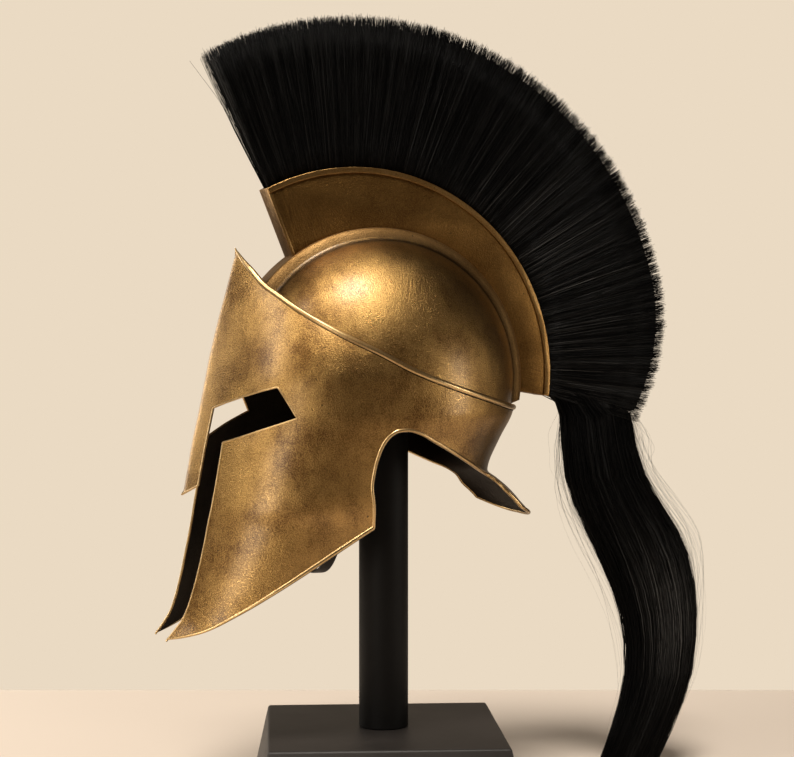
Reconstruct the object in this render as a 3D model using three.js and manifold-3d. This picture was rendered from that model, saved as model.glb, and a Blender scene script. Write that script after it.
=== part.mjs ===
// A bronze helmet with a standing horsehair crest, on the plain post and base that hold it.
// Millimetres. +Z is up, the helmet faces -Y, +X is the wearer's left. The origin is under the middle of the base.
import * as THREE from "three";
import { mergeVertices } from "three/addons/utils/BufferGeometryUtils.js";
import Module from "manifold-3d";

const wasm = await Module();
wasm.setup();

// Bowl
const bowlReach = 132; // half of the bowl's length, and its height above the ears
const bowlHalfWidth = 100;
const bowlCentreHeight = 385; // above the table
const bowlSetForward = 8; // in front of the post's axis
const sheet = 1.6; // thickness of the hammered bronze
const clearance = 0.4; // between pieces that touch
const bandRise = 8.6; // raised band along the bowl's middle line
const bandTopHalfWidth = 15;
const bandFootHalfWidth = 23;
const bowlOverlap = 9; // how far the bowl reaches down inside the face plate
const browWebDrop = 17; // depth of the valley between the plate's peak and the bowl
const overrun = 9; // how far a form that only cuts reaches past what it cuts

// Beads
const browBead = 2.8; // radius of the moulding along the plate's upper edge
const edgeBead = 2.0; // radius of the rolled lower edge

// Crest box
const boxHalfWidth = 13;
const boxSheet = 2;
const boxRimDepth = 5.5;
const boxRimProud = 1.4;
const boxLipDepth = 3;

// Horsehair
const brushLocks = 25;
const brushSpread = 19; // half of the brush's width near its tips
const tailLocks = 7;
const tailEnds = 5;
const tailClear = 6; // between the tail's ends and the table

// Strap
const strapWidth = 11;
const strapThickness = 2;
const strapTab = 22; // length that lies against each cheek
const strapDrop = 68; // from the tabs down to the lowest point
const strapEase = 0.5; // room for the cheek's curve behind a tab, besides the clearance

// Stand
const postRadius = 23;
const capRadius = 42;
const capHeight = 26;
const baseSide = 216; // of the top face
const baseHeight = 60;
const baseFlare = 12; // degrees from upright
const baseTurn = -15.4; // degrees about the post

const degrees = Math.PI / 180;

// A table of shares: named columns, and a row for each section or corner.
function table(columns, rows) {
  return rows.map((row) => Object.fromEntries(columns.map((name, i) => [name, row[i]])));
}

// Level sections of the face plate from top to bottom. up, keel, middle and back are shares of the bowl's reach
// from the bowl's centre, side is a share of its half width. keel is the sharp front, middle the widest place.
// round is the power of the back's curve: 2 is an ellipse, and more is squarer.
const plateLevels = table(["up", "keel", "middle", "back", "side", "round"], [
  [0.97, 1.000, 0.00, 1.000, 0.66, 2.0],
  [0.80, 1.045, 0.00, 1.000, 0.67, 2.0],
  [0.62, 1.092, 0.00, 1.000, 0.72, 2.0],
  [0.50, 1.125, 0.00, 1.000, 0.795, 2.0],
  [0.39, 1.153, 0.00, 1.015, 0.88, 2.0],
  [0.28, 1.180, 0.00, 1.022, 0.947, 2.0],
  [0.15, 1.210, 0.00, 1.024, 1.005, 2.0],
  [0.00, 1.240, 0.00, 1.022, 1.035, 2.0],
  [-0.21, 1.283, 0.00, 1.002, 1.03, 2.0],
  [-0.42, 1.330, 0.08, 0.895, 0.99, 2.05],
  [-0.60, 1.363, 0.13, 0.800, 0.96, 2.2],
  [-0.645, 1.372, 0.14, 0.788, 0.955, 2.3],
  [-0.69, 1.380, 0.15, 0.845, 0.95, 2.4],
  [-0.76, 1.393, 0.16, 0.925, 0.945, 2.65],
  [-0.85, 1.408, 0.18, 1.005, 0.93, 2.9],
  [-0.97, 1.428, 0.21, 1.094, 0.89, 3.0],
  [-1.17, 1.475, 0.28, 0.900, 0.84, 3.0],
  [-1.42, 1.530, 0.36, 0.640, 0.78, 3.0],
  [-1.60, 1.590, 0.42, 0.500, 0.72, 3.0],
  [-1.74, 1.680, 0.48, 0.420, 0.68, 3.0],
  [-1.80, 1.740, 0.50, 0.400, 0.66, 3.0],
]);
const plateFullness = 3.3; // how full the plate is between its keel and its widest place

// Corners of the plate's edges seen from the side, as shares of the bowl's reach from the bowl's centre.
const browEdge = table(["back", "up"], [
  [-1.015, 0.909],
  [-0.982, 0.824],
  [-0.934, 0.739],
  [-0.884, 0.656],
  [-0.813, 0.585],
  [-0.714, 0.492],
  [-0.573, 0.388],
  [-0.420, 0.296],
  [-0.215, 0.194],
  [0.026, 0.070],
  [0.291, -0.029],
  [0.597, -0.121],
  [0.792, -0.172],
  [0.888, -0.192],
  [1.005, -0.206],
]);
const eyeAndMouth = table(["back", "up"], [
  [-1.205, -0.181],
  [-1.140, -0.143],
  [-1.052, -0.100],
  [-0.951, -0.059],
  [-0.865, -0.031],
  [-0.757, -0.239],
  [-0.961, -0.319],
  [-1.170, -0.411],
  [-1.213, -0.663],
  [-1.255, -0.892],
  [-1.302, -1.132],
  [-1.371, -1.422],
  [-1.429, -1.591],
  [-1.480, -1.669],
  [-1.545, -1.752],
  [-2.100, -1.900],
  [-2.100, -0.777],
  [-1.394, -0.777],
  [-1.310, -0.708],
  [-1.264, -0.454],
]);
const lowerEdge = table(["back", "up"], [
  [-1.534, -1.735],
  [-1.464, -1.720],
  [-1.324, -1.674],
  [-1.108, -1.548],
  [-0.888, -1.402],
  [-0.658, -1.249],
  [-0.480, -1.132],
  [-0.236, -0.978],
  [-0.244, -0.823],
  [-0.260, -0.702],
  [-0.245, -0.582],
  [-0.212, -0.463],
  [-0.154, -0.367],
  [-0.081, -0.325],
  [-0.025, -0.322],
  [0.071, -0.347],
  [0.172, -0.398],
  [0.321, -0.475],
  [0.464, -0.551],
  [0.601, -0.621],
  [0.700, -0.669],
  [0.767, -0.715],
  [0.830, -0.785],
  [0.891, -0.842],
  [0.935, -0.890],
]);
const guardTip = { back: 1.092, up: -0.966 };

// Crest box seen from the side: circles about points given as shares of the reach, and end angles from the back.
const boxFoot = { frontAngle: 126.6, backAngle: -5 };
const boxTop = { back: -0.150, up: 0.036, radius: 1.446, frontAngle: 117.5, backAngle: -6.6 };
const hairTop = { back: -0.105, up: 0.191, radius: 2.341, frontAngle: 120.9, backAngle: -10.5 };

// Level sections of the tail. height is a share of the tail's drop, the others are shares of the bowl's reach.
const tailLevels = table(["height", "back", "width", "depth"], [
  [1.000, 1.70, 0.72, 0.24],
  [0.911, 1.71, 0.56, 0.30],
  [0.790, 1.75, 0.59, 0.32],
  [0.688, 1.87, 0.68, 0.34],
  [0.594, 2.03, 0.73, 0.35],
  [0.460, 2.18, 0.65, 0.34],
  [0.325, 2.24, 0.57, 0.32],
  [0.242, 2.23, 0.54, 0.30],
  [0.116, 2.12, 0.51, 0.27],
  [0.065, 2.06, 0.46, 0.22],
]);

const bronze = { color: 0x7a5a26, roughness: 0.35, metalness: 1 };
const horsehair = { color: 0x0b0b0c, roughness: 0.55, metalness: 0 };
const leather = { color: 0x14110f, roughness: 0.6, metalness: 0 };
const satinBlack = { color: 0x17120f, roughness: 0.42, metalness: 0.3 };

const backOf = (share) => share * bowlReach - bowlSetForward;
const heightOf = (share) => bowlCentreHeight + share * bowlReach;
const onSide = ({ back, up }) => new THREE.Vector2(backOf(back), heightOf(up));

// Solids in and out of three.js geometry
function solidOf(geometry) {
  const bare = geometry.index ? geometry.toNonIndexed() : geometry;
  bare.deleteAttribute("normal");
  bare.deleteAttribute("uv");
  const merged = mergeVertices(bare, 1e-4);
  return new wasm.Manifold(new wasm.Mesh({
    numProp: 3,
    vertProperties: merged.attributes.position.array,
    triVerts: new Uint32Array(merged.index.array),
  }));
}

function meshOf(name, solid, finish) {
  const { vertProperties, triVerts } = solid.getMesh();
  const geometry = new THREE.BufferGeometry();
  geometry.setAttribute("position", new THREE.BufferAttribute(new Float32Array(vertProperties), 3));
  geometry.setIndex(new THREE.BufferAttribute(new Uint32Array(triVerts), 1));
  geometry.computeVertexNormals();
  const mesh = new THREE.Mesh(geometry, new THREE.MeshStandardMaterial(finish));
  mesh.name = name;
  return mesh;
}

// A closed skin through rings with the same number of points, all run the same way round.
function loft(rings) {
  const around = rings[0].length;
  const points = rings.flat();
  const faces = [];
  for (let row = 0; row + 1 < rings.length; row++) {
    for (let i = 0; i < around; i++) {
      const [a, b] = [row * around + i, row * around + ((i + 1) % around)];
      faces.push(a, b, a + around, b, b + around, a + around);
    }
  }
  for (const [ring, start, turned] of [[rings[0], 0, true], [rings.at(-1), points.length - around, false]]) {
    const middle = ring.reduce((sum, p) => sum.add(p), new THREE.Vector3()).divideScalar(around);
    const hub = points.push(middle) - 1;
    for (let i = 0; i < around; i++) {
      const [a, b] = [start + i, start + ((i + 1) % around)];
      faces.push(...(turned ? [b, a, hub] : [a, b, hub]));
    }
  }
  const geometry = new THREE.BufferGeometry().setFromPoints(points);
  geometry.setIndex(faces);
  const solid = solidOf(geometry);
  if (solid.volume() > 0) return solid;
  geometry.setIndex(faces.reverse());
  return solidOf(geometry);
}

// An outline seen from the side, run across the helmet from -halfWidth to +halfWidth.
function acrossSolid(outline, halfWidth) {
  const geometry = new THREE.ExtrudeGeometry(new THREE.Shape(outline), { depth: 2 * halfWidth, bevelEnabled: false });
  geometry.translate(0, 0, -halfWidth);
  const [side, up, across] = [new THREE.Vector3(0, 1, 0), new THREE.Vector3(0, 0, 1), new THREE.Vector3(1, 0, 0)];
  geometry.applyMatrix4(new THREE.Matrix4().makeBasis(side, up, across));
  return solidOf(geometry);
}

// A round rod along points.
function rodSolid(points, radius, steps, sides = 8) {
  const ring = Array.from({ length: sides }, (_, i) => {
    const angle = (2 * Math.PI * i) / sides;
    return new THREE.Vector2(radius * Math.cos(angle), radius * Math.sin(angle));
  });
  const extrudePath = new THREE.CatmullRomCurve3(points, false, "centripetal");
  return solidOf(new THREE.ExtrudeGeometry(new THREE.Shape(ring), { steps, extrudePath, curveSegments: 1 }));
}

// A smooth value read from a table's column at a height, without overshoot.
function readLevel(rows, key, up) {
  const at = (i) => rows[Math.min(Math.max(i, 0), rows.length - 1)];
  const slope = (i) => (at(i + 1) === at(i) ? 0 : (at(i + 1)[key] - at(i)[key]) / (at(i + 1).up - at(i).up));
  const tangent = (i) => {
    const [before, after] = [slope(i - 1), slope(i)];
    return before * after <= 0 ? 0 : (2 * before * after) / (before + after);
  };
  const last = rows.length - 2;
  const i = Math.min(Math.max(rows.findIndex((row) => row.up <= up) - 1, 0), last);
  const span = at(i + 1).up - at(i).up;
  const t = Math.min(Math.max((up - at(i).up) / span, 0), 1);
  const [t2, t3] = [t * t, t * t * t];
  return (2 * t3 - 3 * t2 + 1) * at(i)[key] + (t3 - 2 * t2 + t) * span * tangent(i)
    + (3 * t2 - 2 * t3) * at(i + 1)[key] + (t3 - t2) * span * tangent(i + 1);
}

function plateSection(up) {
  const read = (key) => readLevel(plateLevels, key, up);
  return {
    keel: -read("keel") * bowlReach - bowlSetForward,
    middle: -read("middle") * bowlReach - bowlSetForward,
    back: read("back") * bowlReach - bowlSetForward,
    side: read("side") * bowlHalfWidth,
    round: read("round"),
  };
}

// Half width of the plate's outside at a place seen from the side.
function plateHalfWidth(y, z) {
  const { keel, middle, back, side, round } = plateSection((z - bowlCentreHeight) / bowlReach);
  if (y < middle) return side * Math.max(1 - ((middle - y) / (middle - keel)) ** plateFullness, 0);
  return side * Math.max(1 - ((y - middle) / (back - middle)) ** round, 0) ** (1 / round);
}

// One level ring of the plate, drawn in by a thickness.
function plateRing(up, inset) {
  const frontSteps = 9;
  const backSteps = 6;
  const { keel, middle, back, side, round } = plateSection(up);
  const half = [];
  for (let i = 0; i < frontSteps; i++) {
    const t = 1 - (i / frontSteps) ** 1.6;
    half.push([(side - inset) * (1 - t ** plateFullness), middle - t * (middle - keel - inset)]);
  }
  for (let i = 0; i <= backSteps; i++) {
    const angle = (Math.PI / 2) * (i / backSteps);
    const [out, along] = [Math.cos(angle), Math.sin(angle)].map((part) => Math.max(part, 0) ** (2 / round));
    half.push([(side - inset) * out, middle + (back - inset - middle) * along]);
  }
  const mirrored = half.slice(1, -1).reverse().map(([x, y]) => [-x, y]);
  const z = heightOf(up);
  return [...half, ...mirrored].map(([x, y]) => new THREE.Vector3(Math.abs(x) < 1e-6 ? 0 : x, y, z));
}

function plateBody(inset, reachPast) {
  const rings = plateLevels.map(({ up }) => plateRing(up, inset)).reverse();
  rings[0].forEach((p) => (p.z -= reachPast));
  rings.at(-1).forEach((p) => (p.z += reachPast));
  return loft(rings);
}

// Bowl: turned about the line from ear to ear, with or without the raised band.
function bowlBody(offset, withBand) {
  const places = [];
  for (let angle = -90; angle <= 90; angle += 10) places.push(bowlHalfWidth * Math.sin(angle * degrees));
  for (const edge of [bandTopHalfWidth, bandFootHalfWidth]) places.push(edge, -edge);
  places.sort((a, b) => a - b);
  const profile = places.map((x) => {
    const round = Math.sqrt(Math.max(1 - (x / bowlHalfWidth) ** 2, 0));
    const slope = (bandFootHalfWidth - Math.abs(x)) / (bandFootHalfWidth - bandTopHalfWidth);
    const band = THREE.MathUtils.clamp(slope, 0, 1);
    const crown = withBand && band > 0 ? (bowlReach + bandRise - bowlReach * round) * band : 0;
    return new THREE.Vector2((bowlReach + offset) * round + crown, x * (1 + offset / bowlHalfWidth));
  });
  const geometry = new THREE.LatheGeometry(profile, 44);
  geometry.rotateZ(-Math.PI / 2);
  geometry.translate(0, -bowlSetForward, bowlCentreHeight);
  return solidOf(geometry);
}

// Everything below the brow edge moved down by a drop, seen from the side.
function belowBrow(drop) {
  const edge = browEdge.map(onSide);
  edge.forEach((p) => (p.y -= drop));
  const [front, back] = [backOf(-2.2), backOf(2.2)];
  const low = heightOf(-2);
  const outline = [
    new THREE.Vector2(front, low),
    new THREE.Vector2(back, low),
    new THREE.Vector2(back, edge.at(-1).y),
    ...edge.reverse(),
    new THREE.Vector2(front, heightOf(1.4) - drop),
  ];
  return acrossSolid(outline, 2 * bowlHalfWidth);
}

// The bowl's solid form, grown by an offset. The raised band stops above the brow bead at the back.
function bowlForm(offset, shorter) {
  const backHalf = acrossSolid([
    new THREE.Vector2(0, 0),
    new THREE.Vector2(backOf(2.2), 0),
    new THREE.Vector2(backOf(2.2), heightOf(2)),
    new THREE.Vector2(0, heightOf(2)),
  ], 2 * bowlHalfWidth);
  const banded = bowlBody(offset, true).subtract(belowBrow(-browBead - clearance - shorter).intersect(backHalf));
  return bowlBody(offset, false).add(banded);
}

function skullDome() {
  const wall = bowlForm(0, 0).subtract(bowlForm(-sheet, sheet));
  return meshOf("skull_dome", wall.subtract(belowBrow(bowlOverlap)), bronze);
}

// Points on the plate's left side along an edge.
function onPlate(edge, inset) {
  return edge.map(onSide).map((p) => new THREE.Vector3(plateHalfWidth(p.x, p.y) - inset, p.x, p.y));
}

const mirrored = (points) => [...points].reverse().map((p) => new THREE.Vector3(-p.x, p.y, p.z));

function faceMask() {
  const body = plateBody(0, 0);
  let wall = body.subtract(plateBody(sheet, overrun));
  const web = belowBrow(browWebDrop).subtract(belowBrow(browWebDrop + sheet)).intersect(plateBody(sheet / 2, 0));
  const frontHalf = acrossSolid([
    new THREE.Vector2(backOf(-2), heightOf(-0.5)),
    new THREE.Vector2(backOf(-0.5), heightOf(-0.5)),
    new THREE.Vector2(backOf(-0.5), heightOf(1.2)),
    new THREE.Vector2(backOf(-2), heightOf(1.2)),
  ], 2 * bowlHalfWidth);
  wall = wall.add(web.intersect(frontHalf));
  const above = acrossSolid([
    new THREE.Vector2(backOf(-2.2), heightOf(3)),
    new THREE.Vector2(backOf(-2.2), heightOf(browEdge[0].up)),
    ...browEdge.map(onSide),
    new THREE.Vector2(backOf(2.2), heightOf(browEdge.at(-1).up)),
    new THREE.Vector2(backOf(2.2), heightOf(3)),
  ], 2 * bowlHalfWidth);
  const under = acrossSolid([
    new THREE.Vector2(backOf(-2.1), heightOf(-2.2)),
    new THREE.Vector2(backOf(1.6), heightOf(-2.2)),
    new THREE.Vector2(backOf(1.6), heightOf(guardTip.up)),
    onSide(guardTip),
    ...lowerEdge.map(onSide).reverse(),
    new THREE.Vector2(backOf(-2.1), heightOf(-1.84)),
  ], 2 * bowlHalfWidth);
  const face = acrossSolid(eyeAndMouth.map(onSide), 2 * bowlHalfWidth);
  wall = wall.subtract(above).subtract(under).subtract(face);
  const browLine = onPlate(browEdge.slice(0, -1), sheet / 2);
  browLine[0].x = 0;
  const browBack = new THREE.Vector3(0, backOf(browEdge.at(-1).back) - sheet / 2, heightOf(browEdge.at(-1).up));
  const brow = rodSolid([...browLine, browBack, ...mirrored(browLine)], browBead, 34, 5);
  const edgeLine = onPlate(lowerEdge, sheet / 2);
  const tip = new THREE.Vector3(0, backOf(guardTip.back) - sheet / 2, heightOf(guardTip.up));
  const edge = rodSolid([...edgeLine, tip, ...mirrored(edgeLine)], edgeBead, 52, 5);
  return meshOf("face_mask", wall.add(brow).add(edge).subtract(bowlForm(clearance, 0)), bronze);
}

// A circular arc seen from the side about a centre, from one angle to another, angles from the back.
function arc(centre, radius, from, to, steps) {
  return Array.from({ length: steps + 1 }, (_, i) => {
    const angle = (from + ((to - from) * i) / steps) * degrees;
    return new THREE.Vector2(centre.x + radius * Math.cos(angle), centre.y + radius * Math.sin(angle));
  });
}

const bowlCentre = onSide({ back: 0, up: 0 });
const boxFootRadius = bowlReach + bandRise + clearance;
const boxTopCentre = onSide(boxTop);
const boxTopRadius = boxTop.radius * bowlReach;

// The crest box's side outline, from its foot grown outwards by lift to its top grown by rise, its ends drawn in.
function boxOutline(lift, rise, drawnIn) {
  const footTurn = drawnIn / boxFootRadius / degrees;
  const topTurn = drawnIn / boxTopRadius / degrees;
  const foot = arc(bowlCentre, boxFootRadius + lift, boxFoot.backAngle + footTurn, boxFoot.frontAngle - footTurn, 36);
  const top = arc(boxTopCentre, boxTopRadius + rise, boxTop.frontAngle - topTurn, boxTop.backAngle + topTurn, 36);
  return [...foot, ...top];
}

function crestBox() {
  const walls = acrossSolid(boxOutline(0, 0, 0), boxHalfWidth);
  const hollow = acrossSolid(boxOutline(boxSheet, overrun, boxSheet), boxHalfWidth - boxSheet);
  const inner = arc(boxTopCentre, boxTopRadius - boxRimDepth, boxTop.frontAngle, boxTop.backAngle, 36);
  const outer = arc(boxTopCentre, boxTopRadius, boxTop.backAngle, boxTop.frontAngle, 36);
  const rim = acrossSolid([...inner, ...outer], boxHalfWidth + boxRimProud);
  const lipBack = boxOutline(0, 0, boxLipDepth).slice(36, 39);
  const lipFront = boxOutline(0, 0, 0).slice(36, 39);
  const lip = acrossSolid([lipFront[0], lipFront[1], lipBack[1], lipBack[0]], boxHalfWidth + boxRimProud);
  return meshOf("crest_box", walls.add(rim).add(lip).subtract(hollow), bronze);
}

// The line that parts the brush above from the tail below, seen from the side.
const hairParting = { from: { back: 1.18, up: -0.035 }, to: { back: 2.6, up: -0.22 } };

function partingSolid(lower) {
  const [from, to] = [onSide(hairParting.from), onSide(hairParting.to)];
  const [front, low] = [backOf(1), heightOf(-3)];
  return acrossSolid([
    new THREE.Vector2(front, low),
    new THREE.Vector2(to.x, low),
    new THREE.Vector2(to.x, to.y - lower),
    new THREE.Vector2(from.x, from.y - lower),
    new THREE.Vector2(front, from.y - lower),
  ], 2 * bowlHalfWidth);
}

const backingHalfWidth = boxHalfWidth - boxSheet - clearance;

// The room for hair inside the trough, open above it.
function troughRoom() {
  return acrossSolid(boxOutline(boxSheet + clearance, overrun, boxSheet + clearance), backingHalfWidth);
}

function hairBacking() {
  return acrossSolid(boxOutline(boxSheet + clearance, -boxRimDepth, boxSheet + clearance), backingHalfWidth);
}

// One standing lock, a tapered blade from inside the box out to the hair's edge.
function brushLock(index) {
  const share = (index + 0.5) / brushLocks;
  const lean = Math.sin(index * 2.4) * 0.12;
  const rootAngle = THREE.MathUtils.lerp(boxTop.frontAngle - 1.5, boxTop.backAngle + 3, share) * degrees;
  const tipAngle = THREE.MathUtils.lerp(hairTop.frontAngle, hairTop.backAngle, share) * degrees;
  const tipCentre = onSide(hairTop);
  const tipRadius = hairTop.radius * bowlReach * (1 - 0.018 * (1 + Math.sin(index * 1.7)));
  const root = boxTopCentre.clone().add(new THREE.Vector2(Math.cos(rootAngle), Math.sin(rootAngle))
    .multiplyScalar(boxTopRadius - 2.5 * boxRimDepth));
  const tip = tipCentre.clone().add(new THREE.Vector2(Math.cos(tipAngle), Math.sin(tipAngle))
    .multiplyScalar(tipRadius));
  const along = tip.clone().sub(root);
  const sideways = new THREE.Vector2(-along.y, along.x).normalize();
  const pitch = ((hairTop.frontAngle - hairTop.backAngle) * degrees * hairTop.radius * bowlReach) / brushLocks;
  const rings = table(["out", "thick", "wide"], [
    [0.00, 0.34, 0.00],
    [0.20, 0.46, 0.00],
    [0.60, 0.60, 0.55],
    [0.90, 0.56, 1.00],
    [1.00, 0.12, 1.02],
  ]).map(({ out, thick, wide }) => {
    const middle = root.clone().addScaledVector(along, out);
    const halfThick = pitch * thick;
    const halfWide = THREE.MathUtils.lerp(backingHalfWidth, brushSpread, wide) * (out === 1 ? 0.5 : 1);
    const shift = lean * brushSpread * out;
    return [[-1, -1], [1, -1], [1, 1], [-1, 1]].map(([x, s]) => new THREE.Vector3(
      x * halfWide + shift,
      middle.x + s * halfThick * sideways.x,
      middle.y + s * halfThick * sideways.y,
    ));
  });
  return loft(rings);
}

function crestBrush() {
  let hair = hairBacking();
  for (let i = 0; i < brushLocks; i++) hair = hair.add(brushLock(i));
  const outside = acrossSolid(boxOutline(-overrun, clearance, -overrun), 2 * brushSpread).subtract(troughRoom());
  return meshOf("crest_brush", hair.subtract(outside).subtract(partingSolid(0)), horsehair);
}

const tailTop = onSide(hairParting.from).y;

// A level ring of hair, its edge waved into locks that turn slowly as they fall.
function tailRing({ height, back, width, depth }, wave, sides) {
  return Array.from({ length: sides }, (_, i) => {
    const angle = (2 * Math.PI * i) / sides;
    const reach = (1 + wave * Math.cos(tailLocks * angle + 9 * height)) * bowlReach * 0.5;
    return new THREE.Vector3(
      Math.sin(angle) * depth * reach,
      backOf(back) + Math.cos(angle) * width * reach,
      THREE.MathUtils.lerp(tailClear, tailTop, height),
    );
  });
}

// One of the pointed ends below the tail's body.
function tailEnd(index) {
  const [upper, lower] = tailLevels.slice(-2);
  const place = (index + 0.5) / tailEnds - 0.5;
  const shrink = 1.25 / tailEnds;
  const aside = ({ back, width }) => back + place * width * 0.9;
  const rows = [upper, lower].map((row) => ({ ...row, back: aside(row), width: row.width * shrink }));
  const tip = { ...rows[1], height: 0.05 * Math.abs(Math.sin(2.2 * index)), back: aside(lower) - 0.08 };
  rows.push({ ...tip, width: rows[1].width * 0.2, depth: rows[1].depth * 0.2 });
  return loft(rows.map((row) => tailRing({ ...row, depth: row.depth * 0.8 }, 0, 6)));
}

// The hair leaves the box's open side at its back end and falls behind the helmet.
function crestTail() {
  let hair = loft(tailLevels.map((row) => tailRing(row, 0.07, 4 * tailLocks)));
  for (let i = 0; i < tailEnds; i++) hair = hair.add(tailEnd(i));
  const neck = acrossSolid([
    new THREE.Vector2(backOf(1.15), tailTop),
    new THREE.Vector2(backOf(1.15), heightOf(-0.115)),
    new THREE.Vector2(backOf(1.5), heightOf(-0.2)),
    new THREE.Vector2(backOf(1.6), tailTop),
  ], backingHalfWidth);
  const around = acrossSolid(boxOutline(-overrun, clearance, -clearance), boxHalfWidth + boxRimProud + clearance);
  hair = hair.add(neck).subtract(around.subtract(troughRoom()));
  return meshOf("crest_tail", hair.intersect(partingSolid(clearance)), horsehair);
}

function chinStrap() {
  const place = onSide({ back: -0.45, up: -0.86 });
  const standOff = sheet + clearance + strapEase + strapThickness / 2;
  const narrowest = (z) => Math.min(...[-0.5, 0.5].map((end) => plateHalfWidth(place.x + end * strapWidth, z)));
  const wallAt = (z) => narrowest(z) - standOff;
  const left = [];
  for (let i = 0; i <= 2; i++) {
    const z = place.y + strapTab * (1 - i / 2);
    left.push(new THREE.Vector2(wallAt(z), z));
  }
  const turns = 9;
  for (let i = 1; i <= turns; i++) {
    const share = 1 - i / turns;
    left.push(new THREE.Vector2(left[2].x * share, place.y - strapDrop * (1 - share ** 2.2)));
  }
  const line = [...left, ...left.slice(0, -1).reverse().map((p) => new THREE.Vector2(-p.x, p.y))];
  const ring = (p, i) => {
    const before = line[Math.max(i - 1, 0)];
    const after = line[Math.min(i + 1, line.length - 1)];
    const out = new THREE.Vector2(after.y - before.y, before.x - after.x).normalize();
    const thick = out.multiplyScalar(strapThickness / 2);
    const [front, back] = [place.x - strapWidth / 2, place.x + strapWidth / 2];
    return [
      new THREE.Vector3(p.x - thick.x, front, p.y - thick.y),
      new THREE.Vector3(p.x - thick.x, back, p.y - thick.y),
      new THREE.Vector3(p.x + thick.x, back, p.y + thick.y),
      new THREE.Vector3(p.x + thick.x, front, p.y + thick.y),
    ];
  };
  return meshOf("chin_strap", loft(line.map(ring)), leather);
}

// The pad on the post fills the top of the bowl's inside.
const bowlInsideTop = bowlCentreHeight + bowlReach - sheet;
const capBottom = bowlInsideTop - capHeight;

function upright(radius, from, to, sides) {
  const geometry = new THREE.CylinderGeometry(radius, radius, to - from, sides);
  geometry.rotateX(Math.PI / 2);
  geometry.translate(0, 0, (from + to) / 2);
  return solidOf(geometry);
}

function standCap() {
  const pad = upright(capRadius, capBottom, bowlInsideTop + overrun, 40);
  return meshOf("stand_cap", pad.intersect(bowlBody(-sheet - clearance, false)), satinBlack);
}

function standPost() {
  return meshOf("stand_post", upright(postRadius, baseHeight + clearance, capBottom - clearance, 40), satinBlack);
}

function standBase() {
  const toCorner = Math.SQRT1_2;
  const footSide = baseSide + 2 * baseHeight * Math.tan(baseFlare * degrees);
  const geometry = new THREE.CylinderGeometry(baseSide * toCorner, footSide * toCorner, baseHeight, 4);
  geometry.rotateX(Math.PI / 2);
  geometry.rotateZ((45 + baseTurn) * degrees);
  geometry.translate(0, 0, baseHeight / 2);
  return meshOf("stand_base", solidOf(geometry), satinBlack);
}

const helmet = new THREE.Group();
helmet.add(skullDome(), faceMask(), crestBox(), crestBrush(), crestTail(), chinStrap());
const stand = new THREE.Group();
stand.add(standCap(), standPost(), standBase());
const model = new THREE.Group();
model.add(helmet, stand);

export default model;
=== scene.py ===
# %% [markdown]
# # A bronze helmet with a horsehair crest
# This notebook dresses a plain model of a helmet on its stand. The plain model is loaded as a fixed
# frame. Each plain piece is then replaced by a finer one in the same place, and everything gets its
# finish.

# %% Load the frame
import math
import bmesh
import bpy
import numpy as np
from mathutils import Matrix, Vector


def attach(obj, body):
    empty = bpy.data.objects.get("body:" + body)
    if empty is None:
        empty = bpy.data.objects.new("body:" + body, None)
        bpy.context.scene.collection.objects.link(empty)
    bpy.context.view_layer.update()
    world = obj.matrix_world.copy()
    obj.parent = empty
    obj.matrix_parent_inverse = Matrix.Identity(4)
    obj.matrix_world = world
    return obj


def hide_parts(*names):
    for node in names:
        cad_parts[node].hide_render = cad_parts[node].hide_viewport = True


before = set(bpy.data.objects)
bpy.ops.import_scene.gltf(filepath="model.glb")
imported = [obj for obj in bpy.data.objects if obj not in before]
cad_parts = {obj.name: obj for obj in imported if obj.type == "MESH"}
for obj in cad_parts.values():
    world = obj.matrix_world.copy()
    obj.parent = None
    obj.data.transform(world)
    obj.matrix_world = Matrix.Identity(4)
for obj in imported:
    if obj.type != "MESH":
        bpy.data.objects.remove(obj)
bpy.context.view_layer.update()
print("pieces in the frame:", sorted(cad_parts))

# %% [markdown]
# ## Camera
# The camera stands to the wearer's left, a little in front of the ear, and almost level. A long lens from
# 1.8 m keeps the perspective flat. It is set first, so that every later step can be looked at in the
# right frame.

# %% Place the camera
CAMERA_PLACE = Vector((1.7199, -0.5789, 0.4326))
CAMERA_TURN = 19.0    # degrees in front of the wearer's left
CAMERA_DROP = 1.487   # degrees below level
CAMERA_LENS = 88.19

bpy.ops.object.camera_add(location=CAMERA_PLACE)
camera = bpy.context.object
camera.name = "studio_camera"
camera.rotation_euler = (math.radians(90 - CAMERA_DROP), 0, math.radians(90 - CAMERA_TURN))
camera.data.sensor_width = 36
camera.data.lens = CAMERA_LENS
bpy.context.scene.camera = camera
print("camera at", [round(v, 3) for v in camera.location])

# %% [markdown]
# ## Sizes
# The bowl is an ellipsoid, and most places on the helmet are given as shares of its reach, measured back
# and up from its centre. The tables below hold the level sections of the face plate, and its edges seen
# from the side.

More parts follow.
